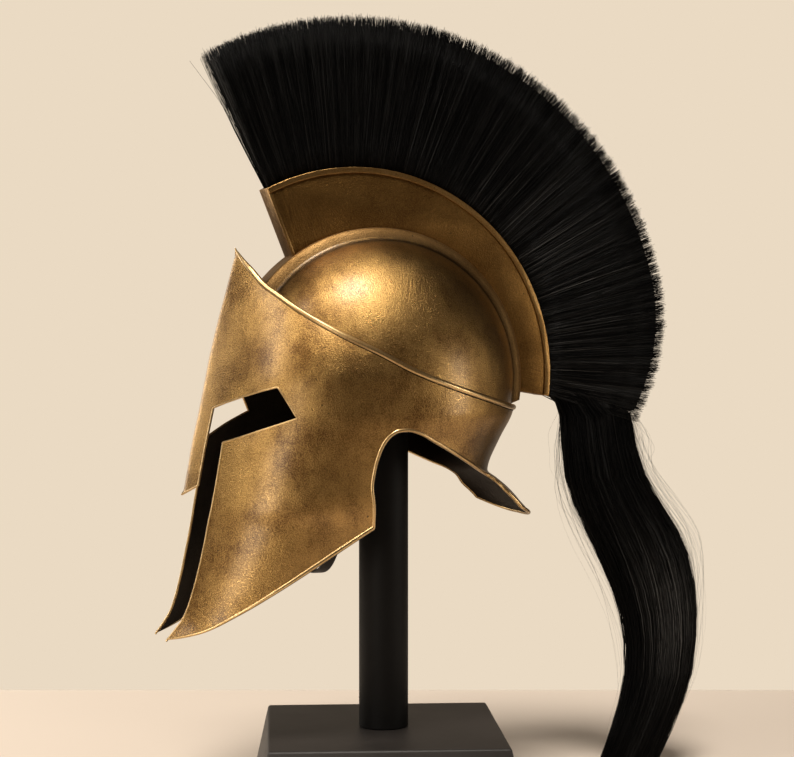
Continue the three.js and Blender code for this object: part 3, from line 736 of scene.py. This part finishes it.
# Painted shade: a dark line in the cove where the raised band meets the bowl.
aside = np.array([abs(vertex.co.x) for vertex in bowl.data.vertices])
mark_painted_shade(bowl, COVE_SHADE * np.exp(-((aside - BAND_FOOT) / COVE_WIDTH) ** 2))
print("bowl:", len(bowl.data.polygons), "faces")

# %% [markdown]
# ## Crest box
# A trough of sheet bronze follows the bowl's middle line and holds the hair. Its foot lies on the raised
# band, and its mouth is a wider arc. Both arcs are drawn as points on circles, the outline is extruded
# across, and the hollow is cut out. A proud band round the mouth and a lip at the front are joined on,
# and small bevels catch the light as worn corners do. The walls get a UV map in metres along and across
# the arc, for the brush marks.

# %% Build the crest box
BOX_HALF_WIDTH = 0.013
BOX_SHEET = 0.002
RIM_DEPTH = 0.0055
RIM_PROUD = 0.0014
FOOT_SINK = 0.0006    # closes the hair's breadth that the plain piece keeps over the band
FOOT_RADIUS = REACH + BAND_RISE - FOOT_SINK
FOOT_ANGLES = (126.6, -5.0)
TOP_CENTRE = np.array(side(-0.150, 0.036))
TOP_RADIUS = 1.446 * REACH
TOP_ANGLES = (117.5, -6.6)


def arc(centre, radius, start, end, steps):
    angles = np.radians(np.linspace(start, end, steps + 1))
    return np.column_stack([centre[0] + radius * np.cos(angles), centre[1] + radius * np.sin(angles)])


def box_outline(lift=0.0, rise=0.0, drawn_in=0.0, steps=120):
    """The box from the side: its foot lifted, its mouth raised, its ends drawn in."""
    foot_turn, top_turn = (math.degrees(drawn_in / r) for r in (FOOT_RADIUS, TOP_RADIUS))
    foot_ends = (FOOT_ANGLES[1] + foot_turn, FOOT_ANGLES[0] - foot_turn)
    top_ends = (TOP_ANGLES[0] - top_turn, TOP_ANGLES[1] + top_turn)
    foot = arc((CENTRE.y, CENTRE.z), FOOT_RADIUS + lift, *foot_ends, steps)
    top = arc(TOP_CENTRE, TOP_RADIUS + rise, *top_ends, steps)
    return np.vstack([foot, top])


def bevelled(piece, width, segments=2):
    return add_modifier(piece, "BEVEL", width=width, segments=segments, limit_method="ANGLE",
                        angle_limit=math.radians(40))


walls = side_prism("box_walls", box_outline(), BOX_HALF_WIDTH)
cut(walls, side_prism("box_hollow", box_outline(BOX_SHEET, 0.008, BOX_SHEET), BOX_HALF_WIDTH - BOX_SHEET))
bevelled(walls, 0.0005)
rim = side_prism("box_rim", np.vstack([arc(TOP_CENTRE, TOP_RADIUS - RIM_DEPTH, *TOP_ANGLES, 120),
                                       arc(TOP_CENTRE, TOP_RADIUS, *TOP_ANGLES[::-1], 120)]),
                 BOX_HALF_WIDTH + RIM_PROUD)
cut(rim, side_prism("rim_hollow", box_outline(BOX_SHEET, 0.008, BOX_SHEET), BOX_HALF_WIDTH - BOX_SHEET))
bevelled(rim, 0.0009, 3)
outline, inner = box_outline(), box_outline(0, 0, 0.003)
lip = side_prism("box_lip", [outline[120], outline[121], inner[121], inner[120]], BOX_HALF_WIDTH + 0.0008)
bevelled(lip, 0.0005)
for piece, material in ((walls, BRONZE_SIDE), (rim, BRONZE_RIM), (lip, BRONZE_RIM)):
    piece.data.materials.clear()
    piece.data.materials.append(material)
    smooth(piece, 30)
uv = walls.data.uv_layers.new(name="UVMap")
for loop in walls.data.loops:
    place = walls.data.vertices[loop.vertex_index].co
    away = np.array([place.y, place.z]) - TOP_CENTRE
    uv.data[loop.index].uv = (math.atan2(away[1], away[0]) * TOP_RADIUS, float(np.hypot(*away)))
crest_box = join([walls, rim, lip], "crest_trough")
print("crest box:", len(crest_box.data.polygons), "faces")

# %% [markdown]
# ## Horsehair
# The hair is thousands of separate strands. Each is a three-sided needle, because from a metre away only
# its line and its glint show. They are made together from arrays, which takes a second where single
# objects would take hours. A dark core inside closes the gaps between them.

# %% Strand maker
HAIR_SEED = 7
luck = np.random.default_rng(HAIR_SEED)


def hair_material(name, colour, sheen_colour, roughness):
    material, tree, shader = new_material(name, roughness=roughness)
    strand = tree.nodes.new("ShaderNodeAttribute")
    strand.attribute_name = "strand"
    # Painted sheen: the strand attribute mixes the near-black hair towards a grey sheen colour.
    colour_mix = mix_colour(tree, ramp(tree, strand.outputs["Fac"], 0.0, 1.0), colour, sheen_colour)
    tree.links.new(colour_mix, shader.inputs["Base Color"])
    shader.inputs["Specular IOR Level"].default_value = 0.08
    return material


HAIR = hair_material("horsehair", (0.0015, 0.0014, 0.0015, 1), (0.12, 0.115, 0.11, 1), 0.36)


def strands(name, paths, radius, painted_sheen, material, tip=0.3):
    """One joined mesh of needles. paths holds strands, points and x, y, z, and tip is the end's thinness."""
    count, steps, _ = paths.shape
    along = np.gradient(paths, axis=1)
    along /= np.linalg.norm(along, axis=2, keepdims=True) + 1e-12
    helper = np.where(np.abs(along[..., :1]) < 0.8, np.array([1.0, 0, 0]), np.array([0, 1.0, 0]))
    across = np.cross(along, helper)
    across /= np.linalg.norm(across, axis=2, keepdims=True) + 1e-12
    other = np.cross(along, across)
    thin = np.linspace(1.0, tip, steps)[None, :, None] * np.asarray(radius).reshape(-1, 1, 1)
    turn = luck.uniform(0, 2 * math.pi, (count, 1, 1))
    corners = [turn + k * 2 * math.pi / 3 for k in range(3)]
    rings = [paths + thin * (np.cos(corner) * across + np.sin(corner) * other) for corner in corners]
    vertices = np.stack(rings, axis=2).reshape(-1, 3)
    first = (np.arange(count) * steps * 3)[:, None, None] + (np.arange(steps - 1) * 3)[None, :, None]
    k = np.arange(3)[None, None, :]
    after = (k + 1) % 3
    quads = np.stack([first + k, first + after, first + 3 + after, first + 3 + k], axis=-1).reshape(-1, 4)
    root = np.arange(count) * steps * 3
    caps = np.concatenate([np.stack([root + 2, root + 1, root], axis=1),
                           np.stack([root, root + 1, root + 2], axis=1) + (steps - 1) * 3])
    mesh = bpy.data.meshes.new(name)
    mesh.vertices.add(len(vertices))
    mesh.vertices.foreach_set("co", vertices.ravel())
    loops = np.concatenate([quads.ravel(), caps.ravel()])
    mesh.loops.add(len(loops))
    mesh.loops.foreach_set("vertex_index", loops)
    sizes = np.concatenate([np.full(len(quads), 4), np.full(len(caps), 3)])
    mesh.polygons.add(len(sizes))
    mesh.polygons.foreach_set("loop_start", np.concatenate([[0], np.cumsum(sizes)[:-1]]))
    mesh.polygons.foreach_set("use_smooth", np.ones(len(sizes), bool))
    mesh.update(calc_edges=True)
    # Painted sheen: each point's share of the grey sheen colour.
    attribute = mesh.attributes.new("strand", "FLOAT", "POINT")
    painted_sheen = np.broadcast_to(np.reshape(painted_sheen, (count, -1)), (count, steps))
    attribute.data.foreach_set("value", np.repeat(painted_sheen.ravel(), 3).astype(np.float32))
    mesh.validate()
    mesh.materials.append(material)
    piece = bpy.data.objects.new(name, mesh)
    bpy.context.collection.objects.link(piece)
    print(name, "has", count, "strands and", 2 * len(quads) + len(caps), "triangles")
    return piece


# %% [markdown]
# ## Standing brush
# The strands stand in the box and fan out to a wide circle. Small groups lean together, which gives the
# streaks, together with painted sheen on a few lighter strands, and their tips end at slightly different
# heights, which gives the soft spiky edge. A smooth dark core stands inside, so no light shows through.

# %% Comb the brush
HAIR_CENTRE = np.array(side(-0.105, 0.191))
HAIR_RADIUS = 2.341 * REACH
HAIR_ANGLES = (118.4, -10.5)
BRUSH_SPREAD = 0.019
PAINTED_SHEEN_ALONG = np.array([0.6, 1.0, 0.9, 0.5, 0.2])    # how much painted sheen a strand gets from root to tip
DROOP_FROM = 0.80
LAST_TIP = (2.000, -0.305)
BACKING = BOX_HALF_WIDTH - BOX_SHEET - CLEARANCE


def on_circle(centre, radius, angles, share):
    angle = np.radians(angles[0] + (angles[1] - angles[0]) * share)
    return np.stack([centre[0] + radius * np.cos(angle), centre[1] + radius * np.sin(angle)], axis=-1)


def hair_edge(share, scale=1.0):
    """Where the hair ends. The last stretch at the back is cut shorter and droops, so the corner is round."""
    end = on_circle(HAIR_CENTRE, HAIR_RADIUS * scale, HAIR_ANGLES, share)
    droop = np.clip((share - DROOP_FROM) / (1 - DROOP_FROM), 0, 1.1) ** 2.4
    corner = on_circle(HAIR_CENTRE, HAIR_RADIUS, HAIR_ANGLES, 1.0)
    return end + droop[..., None] * (np.array(side(*LAST_TIP)) - corner) * scale


def brush_paths(count, share, aside, length, bend, lean, steps=5):
    """Strands from the trough to the hair's edge. aside runs from -1 to 1 across the brush."""
    root = on_circle(TOP_CENTRE, TOP_RADIUS - 0.014, (TOP_ANGLES[0] - 1.2, TOP_ANGLES[1] + 1.5), share)
    end = hair_edge(share + lean)
    t = np.linspace(0, 1, steps)
    middle = root[:, None] + (end - root)[:, None] * (t[None, :, None] * length[:, None, None])
    across = np.stack([-(end - root)[:, 1], (end - root)[:, 0]], axis=-1)
    across /= np.linalg.norm(across, axis=1, keepdims=True)
    middle += across[:, None] * (bend[:, None] * (t * (1 - t) * 4)[None])[..., None]
    wide = BACKING * 0.95 + (BRUSH_SPREAD - BACKING) * smoothstep(t[None] * 1.1)
    x = aside[:, None] * wide
    return np.concatenate([x[..., None], middle], axis=2)


def comb(name, count, low, high):
    share = luck.uniform(low, high, count)
    clump = np.sin(share * 310) * 0.5 + np.sin(share * 730 + 1.7) * 0.3
    aside = np.sign(luck.uniform(-1, 1, count)) * luck.uniform(0, 1, count) ** 0.35
    length = 0.985 + 0.012 * clump + luck.normal(0, 0.010, count)
    stray = luck.uniform(0, 1, count) < 0.02
    bend = luck.normal(0, 0.0016, count) + np.where(stray, luck.normal(0, 0.0035, count), 0)
    lean = 0.0022 * clump + luck.normal(0, 0.0036, count) + np.where(stray, luck.normal(0, 0.012, count), 0)
    paths = brush_paths(count, share, aside, length, bend, lean)
    paths[..., 0] += (clump * 0.0012)[:, None] * np.linspace(0, 1, paths.shape[1])[None]
    # Painted sheen: a few strands, more towards the back, are lighter.
    glint = 0.35 + 0.9 * smoothstep((share - 0.42) / 0.3)
    painted_sheen = np.clip(luck.beta(0.28, 5, count) * 1.5 * glint, 0, 1)[:, None] * PAINTED_SHEEN_ALONG
    return strands(name, paths, luck.uniform(0.00020, 0.00034, count), painted_sheen, HAIR, 0.42)


def brush_core_place(u, v):
    """The core's skin: u runs along the crest, v from the trough up one side, over and down the other."""
    share = u
    out = 1 - np.abs(2 * v - 1)
    sign = np.where(v < 0.5, 1.0, -1.0)
    root = on_circle(TOP_CENTRE, TOP_RADIUS - 0.012, (TOP_ANGLES[0] - 1.5, TOP_ANGLES[1] + 2.5), share)
    end = hair_edge(0.003 + 0.989 * share, 0.972)
    rise = np.clip(out * 1.06, 0, 1)
    middle = root + (end - root) * rise[:, None]
    wide = (BACKING + (BRUSH_SPREAD - BACKING) * smoothstep(rise * 1.1)) * 0.86
    return sign * wide * (1 - smoothstep((out - 0.94) / 0.06)), middle[:, 0], middle[:, 1]


core = shaped_grid("brush_core", 160, 60, brush_core_place)
CORE, CORE_TREE, CORE_SHADER = new_material("hair_core", roughness=0.9, colour=(0.002, 0.002, 0.002, 1))
fine = ramp(CORE_TREE, noise(CORE_TREE, 900, 3, 0.6), 0.3, 0.7)
bump_to(CORE_TREE, CORE_SHADER, fine, 0.0003)
core.data.materials.append(CORE)
smooth(core, 60)
QUICK = 1.0
BRUSH_COUNT = int(6500 * QUICK)
brush = [comb("brush_front", BRUSH_COUNT, 0.0, 0.34), comb("brush_middle", BRUSH_COUNT, 0.33, 0.67),
         comb("brush_back", BRUSH_COUNT, 0.66, 1.0)]

# %% [markdown]
# ## Falling tail
# At the back end of the box the hair is long and falls in a loose S. Each strand leaves the trough, turns
# down and then keeps its own place in the tail's cross section, which grows and narrows as the tail
# falls.

# %% Comb the tail
TAIL_CLEAR = 0.006
PAINTED_SHEEN_HEIGHT = 0.155  # height of the painted sheen on the tail's bend
TAIL_TOP = side(1.18, -0.035)[1]
TAIL_LEVELS = np.array([
    # height, back, width, depth
    [1.000, 1.70, 0.72, 0.24],
    [0.911, 1.71, 0.56, 0.30],
    [0.790, 1.75, 0.59, 0.32],
    [0.688, 1.87, 0.68, 0.34],
    [0.594, 2.03, 0.73, 0.35],
    [0.460, 2.18, 0.65, 0.34],
    [0.325, 2.24, 0.57, 0.32],
    [0.242, 2.23, 0.54, 0.30],
    [0.116, 2.12, 0.51, 0.27],
    [0.040, 2.03, 0.49, 0.24],
    [0.000, 1.98, 0.48, 0.22],
])[::-1]


def tail_section(height):
    back, width, depth = (hermite(TAIL_LEVELS[:, 0], TAIL_LEVELS[:, k], height) for k in (1, 2, 3))
    return CENTRE.y + back * REACH, width * REACH / 2, depth * REACH / 2


def tail_paths(turn, reach, end, wander, drift, steps=16):
    """Strands of the tail, each at its own angle and share of the way out from the middle."""
    fine = 4 * steps
    fall = np.linspace(0, 1, fine)
    height = 0.93 - (0.93 - end)[:, None] * fall[None]
    y, width, depth = tail_section(height)
    twist = turn[:, None] + 0.9 * fall[None] * wander[:, None]
    outward = reach[:, None] * (1 + drift[:, None] * np.sin(math.pi * fall[None] ** 0.8))
    body = np.stack([np.sin(twist) * outward * depth, y + np.cos(twist) * outward * width,
                     TAIL_CLEAR + height * (TAIL_TOP - TAIL_CLEAR)], axis=-1)
    share = 0.5 + 0.5 * np.cos(turn) * reach
    start = on_circle(TOP_CENTRE, TOP_RADIUS - 0.010, (-5.0, 1.5), share)
    leave = on_circle(TOP_CENTRE, TOP_RADIUS + 0.004, (-6.0, 0.5), share)
    leave = leave + (body[:, 0, 1:] - leave) * np.array([0.45, 0.12])
    aside = np.clip(np.sin(turn) * reach, -1, 1) * BACKING * 0.9
    start, leave = (np.column_stack([aside * wide, place]) for wide, place in ((1.0, start), (1.2, leave)))
    paths = np.concatenate([between(start, leave, 6), between(leave, body[:, 0], 8), body], axis=1)
    for _ in range(8):
        paths[:, 1:-1] = (paths[:, :-2] + 2 * paths[:, 1:-1] + paths[:, 2:]) / 4
    return paths[:, np.round(np.linspace(0, paths.shape[1] - 1, steps)).astype(int)]


def between(start, end, count):
    """Points from start towards end, without end."""
    share = np.arange(count)[None, :, None] / count
    return start[:, None] * (1 - share) + end[:, None] * share


def wave(count, steps, slow, fast):
    """For each strand a sine along its way, each with its own pace between slow and fast."""
    along = np.linspace(0, 1, steps)[None]
    return np.sin(along * luck.uniform(slow, fast, (count, 1)) + luck.uniform(0, 6, (count, 1)))


def tail_hair(name, count):
    turn = luck.uniform(0, 2 * math.pi, count)
    turn += 0.05 * np.sin(23 * turn)
    reach = luck.uniform(0.55, 1, count) ** 0.5
    end = np.clip(np.abs(luck.normal(0, 0.016, count)), 0, 0.2)
    paths = tail_paths(turn, reach, end, luck.normal(0.12, 0.16, count), luck.normal(0, 0.032, count))
    paths[..., 1] += 0.0007 * wave(count, 16, 8, 22)
    # Painted sheen, low in the middle of the tail and on its front.
    lower_middle = np.exp(-((paths[..., 2] - PAINTED_SHEEN_HEIGHT) / 0.055) ** 2)
    front = np.clip(np.sin(turn + 0.35), 0, 1) ** 3
    painted_sheen = luck.beta(0.6, 4, count)[:, None] * (0.10 + 3.2 * lower_middle * front[:, None])
    return strands(name, paths, luck.uniform(0.00024, 0.00040, count), np.clip(painted_sheen, 0, 1), HAIR)


def tail_wisps(name, count):
    """Loose hairs that stand off the tail in long curves."""
    turn = np.where(luck.uniform(0, 1, count) < 0.5, 0.0, math.pi) + luck.normal(0, 0.7, count)
    drift = np.minimum(np.abs(luck.normal(0, 0.32, count)), 0.55)
    end = np.clip(luck.uniform(-0.1, 0.75, count), 0.0, 0.75)
    paths = tail_paths(turn, luck.uniform(0.9, 1.0, count), end, luck.normal(0, 0.5, count), drift, steps=22)
    along = np.linspace(0, 1, 22)[None]
    for axis, size in ((0, 0.004), (1, 0.0048)):
        sway = wave(count, 22, 4, 17)
        paths[..., axis] += size * luck.uniform(0.2, 1, (count, 1)) * sway * smoothstep(along * 2.5)
    # The loose hairs get a little painted sheen too.
    return strands(name, paths, luck.uniform(0.00008, 0.00015, count), np.full(count, 0.03), HAIR)


def tail_core_place(u, v):
    height = 0.012 + 0.938 * v
    y, width, depth = tail_section(height)
    angle = 2 * math.pi * u
    swell = 0.84 * (1 + 0.05 * np.cos(7 * angle + 9 * height))
    rise = TAIL_CLEAR + height * (TAIL_TOP - TAIL_CLEAR)
    return np.sin(angle) * depth * swell, y + np.cos(angle) * width * swell, rise


tail_core = shaped_grid("tail_core", 48, 80, tail_core_place)
tail_core.data.materials.append(CORE)
smooth(tail_core, 60)
tail = tail_hair("tail_hair", int(2100 * QUICK))
wisps = tail_wisps("tail_wisps", int(130 * QUICK))

# %% [markdown]
# ## Strap and stand
# A narrow leather strap hangs from cheek to cheek. The stand is a round post on a square plinth whose
# sides flare, with a domed pad under the bowl. All are simple turned and sawn forms, so primitives with
# bevelled edges are close to how they are made.

# %% Strap
STRAP_WIDTH = 0.011
STRAP_THICKNESS = 0.002
STRAP_PLACE = side(-0.45, -0.86)
STRAP_TAB = 0.022
STRAP_DROP = 0.0635
STRAP_EASE = 0.0005   # room for the cheek's curve behind a tab


def strap_line(steps=60):
    """The strap's middle from the left tab down to the lowest point, as (x, z)."""
    height = STRAP_PLACE[1] + STRAP_TAB * np.linspace(1, 0, 12)
    ends = [plate_half_width(np.full(12, STRAP_PLACE[0] + end * STRAP_WIDTH), height) for end in (-0.5, 0.5)]
    stand_off = SHEET + CLEARANCE + STRAP_EASE + STRAP_THICKNESS / 2
    tab = np.column_stack([np.minimum(*ends) - stand_off, height])
    share = 1 - np.linspace(0, 1, steps)[1:]
    hang = np.column_stack([tab[-1, 0] * share, STRAP_PLACE[1] - STRAP_DROP * (1 - share ** 2.2)])
    left = np.vstack([tab, hang])
    return np.vstack([left, left[:-1][::-1] * np.array([-1, 1])])


STRAP_LINE = strap_line()
STRAP_OUT = np.gradient(STRAP_LINE, axis=0)[:, ::-1] * np.array([1, -1])
STRAP_OUT /= np.linalg.norm(STRAP_OUT, axis=1, keepdims=True)


def strap_place(u, v):
    """u runs round the strap's flat oval section, v along it."""
    place = v * (len(STRAP_LINE) - 1)
    line, out = (np.stack([np.interp(place, np.arange(len(STRAP_LINE)), table[:, k]) for k in (0, 1)], axis=1)
                 for table in (STRAP_LINE, STRAP_OUT))
    angle = 2 * math.pi * u
    wide = np.sign(np.cos(angle)) * np.abs(np.cos(angle)) ** 0.35 * STRAP_WIDTH / 2
    thick = np.sign(np.sin(angle)) * np.abs(np.sin(angle)) ** 0.5 * STRAP_THICKNESS / 2
    middle = line + out * thick[:, None]
    return middle[:, 0], STRAP_PLACE[0] + wide, middle[:, 1]


strap = shaped_grid("leather_strap", 24, 130, strap_place)
LEATHER, LEATHER_TREE, LEATHER_SHADER = new_material("strap_leather", roughness=0.55)
grain = noise(LEATHER_TREE, 700, 4, 0.6)
dry = ramp(LEATHER_TREE, grain, 0.35, 0.7)
leather_colour = mix_colour(LEATHER_TREE, dry, (0.010, 0.008, 0.007, 1), (0.03, 0.024, 0.02, 1))
LEATHER_TREE.links.new(leather_colour, LEATHER_SHADER.inputs["Base Color"])
bump_to(LEATHER_TREE, LEATHER_SHADER, grain, 0.0002)
strap.data.materials.append(LEATHER)
smooth(strap)
print("strap drops", round(1000 * STRAP_DROP, 1), "mm below its tabs")

# %% Stand
POST_RADIUS = 0.023
CAP_RADIUS = 0.042
CAP_HEIGHT = 0.026
BASE_SIDE = 0.216
BASE_HEIGHT = 0.060
BASE_FLARE = math.radians(12)
BASE_TURN = math.radians(-15.4)
BOWL_INSIDE_TOP = CENTRE.z + REACH - SHEET
CAP_BOTTOM = BOWL_INSIDE_TOP - CAP_HEIGHT


def black_paint(name, colour, light, roughness, scale, gloss):
    material, tree, shader = new_material(name)
    dust = ramp(tree, noise(tree, scale, 4, 0.6), 0.35, 0.75)
    fine = ramp(tree, noise(tree, 1400, 2, 0.5), 0.3, 0.7)
    tree.links.new(mix_colour(tree, dust, colour, light), shader.inputs["Base Color"])
    tree.links.new(ramp(tree, dust, 0, 1, roughness, roughness + 0.08), shader.inputs["Roughness"])
    bump_to(tree, shader, fine, 0.00006)
    shader.inputs["Specular IOR Level"].default_value = gloss
    return material


POST_COLOURS = ((0.0035, 0.0031, 0.0029, 1), (0.0060, 0.0052, 0.0048, 1))
BASE_COLOURS = ((0.013, 0.0108, 0.0096, 1), (0.024, 0.0195, 0.017, 1))
POST_BLACK = black_paint("post_black", *POST_COLOURS, 0.48, 30, 0.15)
BASE_BLACK = black_paint("base_black", *BASE_COLOURS, 0.45, 14, 0.4)


def upright(name, radius, low, high, bevel):
    deselect()
    bpy.ops.mesh.primitive_cylinder_add(vertices=96, radius=radius, depth=high - low,
                                        location=(0, 0, (low + high) / 2))
    piece = bpy.context.object
    piece.name = piece.data.name = name
    bake_place(piece)
    return bevelled(piece, bevel, 3)


post = upright("round_post", POST_RADIUS, BASE_HEIGHT + CLEARANCE, CAP_BOTTOM - CLEARANCE, 0.0008)
post.data.materials.append(POST_BLACK)
smooth(post)
pad = upright("post_pad", CAP_RADIUS, CAP_BOTTOM, BOWL_INSIDE_TOP + 0.01, 0.001)
cut(pad, bowl_ball(-SHEET - CLEARANCE), "INTERSECT")
pad.data.materials.clear()
pad.data.materials.append(POST_BLACK)
smooth(pad)

deselect()
bpy.ops.mesh.primitive_cube_add(size=1, location=(0, 0, BASE_HEIGHT / 2))
plinth = bpy.context.object
plinth.name = plinth.data.name = "square_plinth"
bake_place(plinth)
foot_side = BASE_SIDE + 2 * BASE_HEIGHT * math.tan(BASE_FLARE)
for vertex in plinth.data.vertices:
    half = BASE_SIDE / 2 if vertex.co.z > BASE_HEIGHT / 2 else foot_side / 2
    corner = Vector((math.copysign(half, vertex.co.x), math.copysign(half, vertex.co.y)))
    corner.rotate(Matrix.Rotation(BASE_TURN, 2))
    vertex.co = (corner.x, corner.y, BASE_HEIGHT if vertex.co.z > BASE_HEIGHT / 2 else 0)
bevelled(plinth, 0.0022, 4)
plinth.data.materials.append(BASE_BLACK)
smooth(plinth)
print("stand: post from", round(BASE_HEIGHT, 3), "to", round(CAP_BOTTOM, 3), "m")

# %% [markdown]
# ## Put the pieces on the frame
# Each fine piece is listed with the plain piece it stands for, which is hidden, and rides on the one body of
# the object.

# %% Ride and replace
DRESSED = [
    (bowl, "skull_dome", "bronze"),
    (face_mask, "face_mask", "bronze"),
    (crest_box, "crest_box", "bronze"),
    (core, "crest_brush", "horsehair"),
    (tail_core, "crest_tail", "horsehair"),
    (strap, "chin_strap", "strap_leather"),
    (post, "stand_post", "stand_black"),
    (pad, "stand_cap", "stand_black"),
    (plinth, "stand_base", "stand_black"),
    *((piece, "crest_brush", "horsehair") for piece in brush),
    (tail, "crest_tail", "horsehair"),
    (wisps, "crest_tail", "horsehair"),
]
for piece, node, finish in DRESSED:
    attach(piece, "root")
    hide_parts(node)
print(len(DRESSED), "pieces ride on the frame")

# %% [markdown]
# ## Light and stage
# Polished metal shows what stands round it. The side towards the camera looks into a dim room, so it
# stays deep brown. A broad sun high in front lights the floor and draws the bright spot on the bowl. Soft
# lamps draw the other bright shapes: a tall one on the left for the streak down the face, a low one in
# front for the foot of the cheek, one on the right for the back of the bowl, and one behind for the rims.
# The floor is short in depth: its far edge shows as a line, and its near edge as a change of light in the
# metal. The room is a little paler low down and behind, so that the metal darkens evenly towards its
# edges. The camera itself sees a plain pale ground.

# %% Lamps, floor and surroundings
FLOOR_FRONT = 0.62    # from the post to the edge nearest the camera
FLOOR_BACK = 0.50
FLOOR_WIDTH = 2.2
LAMP_COLOUR = (1, 0.93, 0.82)
LAMP_AIM = Vector((0, 0, 0.38))


def soft_lamp(name, azimuth, elevation, distance, size, power):
    """A rectangular lamp that shines at the helmet from an azimuth and elevation in degrees."""
    azimuth, elevation = math.radians(azimuth), math.radians(elevation)
    away = Vector((math.cos(azimuth) * math.cos(elevation), math.sin(azimuth) * math.cos(elevation),
                   math.sin(elevation)))
    data = bpy.data.lights.new(name, "AREA")
    data.shape = "RECTANGLE"
    data.size, data.size_y = size
    data.energy = power
    data.color = LAMP_COLOUR
    lamp = bpy.data.objects.new(name, data)
    lamp.location = LAMP_AIM + away * distance
    lamp.rotation_euler = (-away).to_track_quat("-Z", "Y").to_euler()
    bpy.context.collection.objects.link(lamp)
    return lamp


soft_lamp("lamp_left", -76, 31, 1.5, (0.26, 1.05), 9)
soft_lamp("lamp_low", -53, -6, 1.5, (0.45, 0.35), 4.2)
soft_lamp("lamp_right", 52, 0, 1.6, (0.26, 0.6), 4)
soft_lamp("lamp_rim", -138, 12, 1.6, (0.9, 0.9), 9)

sun_azimuth, sun_height = math.radians(-25), math.radians(66)
sun_way = Vector((math.cos(sun_azimuth) * math.cos(sun_height), math.sin(sun_azimuth) * math.cos(sun_height),
                  math.sin(sun_height)))
sun_data = bpy.data.lights.new("broad_sun", "SUN")
sun_data.energy = 3.0
sun_data.angle = math.radians(20)
sun_data.color = (1, 0.94, 0.85)
sun = bpy.data.objects.new("broad_sun", sun_data)
sun.rotation_euler = sun_way.to_track_quat("Z", "Y").to_euler()
bpy.context.collection.objects.link(sun)

deselect()
bpy.ops.mesh.primitive_plane_add(size=1)
floor = bpy.context.object
floor.name = "floor"
for corner in floor.data.vertices:
    corner.co.x = FLOOR_FRONT if corner.co.x > 0 else -FLOOR_BACK
    corner.co.y *= FLOOR_WIDTH
    corner.co.rotate(Matrix.Rotation(math.radians(-CAMERA_TURN), 3, "Z"))
floor.data.materials.append(new_material("pale_floor", roughness=0.9, colour=(0.67, 0.575, 0.49, 1))[0])

world = bpy.data.worlds.new("dim_room")
world.use_nodes = True
bpy.context.scene.world = world
tree = world.node_tree
tree.nodes.clear()
seen = tree.nodes.new("ShaderNodeBackground")
seen.inputs["Color"].default_value = (0.80, 0.68, 0.53, 1)
seen.inputs["Strength"].default_value = 1.03
room = tree.nodes.new("ShaderNodeBackground")
way = tree.nodes.new("ShaderNodeTexCoord").outputs["Generated"]
towards_back = tree.nodes.new("ShaderNodeVectorMath")
towards_back.operation = "DOT_PRODUCT"
turn = math.radians(CAMERA_TURN)
towards_back.inputs[1].default_value = (-math.cos(turn), math.sin(turn), 0)
split = tree.nodes.new("ShaderNodeSeparateXYZ")
tree.links.new(way, towards_back.inputs[0])
tree.links.new(way, split.inputs["Vector"])
low = ramp(tree, split.outputs["Z"], -0.5, -0.1, 1.0, 0.0)
behind = ramp(tree, towards_back.outputs["Value"], 0.45, 0.95)
room_colour = mix_colour(tree, low, (0.045, 0.036, 0.028, 1), (0.26, 0.19, 0.12, 1))
tree.links.new(mix_colour(tree, behind, room_colour, (0.30, 0.24, 0.18, 1)), room.inputs["Color"])
path = tree.nodes.new("ShaderNodeLightPath")
choice = tree.nodes.new("ShaderNodeMixShader")
result = tree.nodes.new("ShaderNodeOutputWorld")
tree.links.new(path.outputs["Is Camera Ray"], choice.inputs["Fac"])
tree.links.new(room.outputs["Background"], choice.inputs[1])
tree.links.new(seen.outputs["Background"], choice.inputs[2])
tree.links.new(choice.outputs["Shader"], result.inputs["Surface"])
bpy.context.scene.view_settings.view_transform = "Standard"
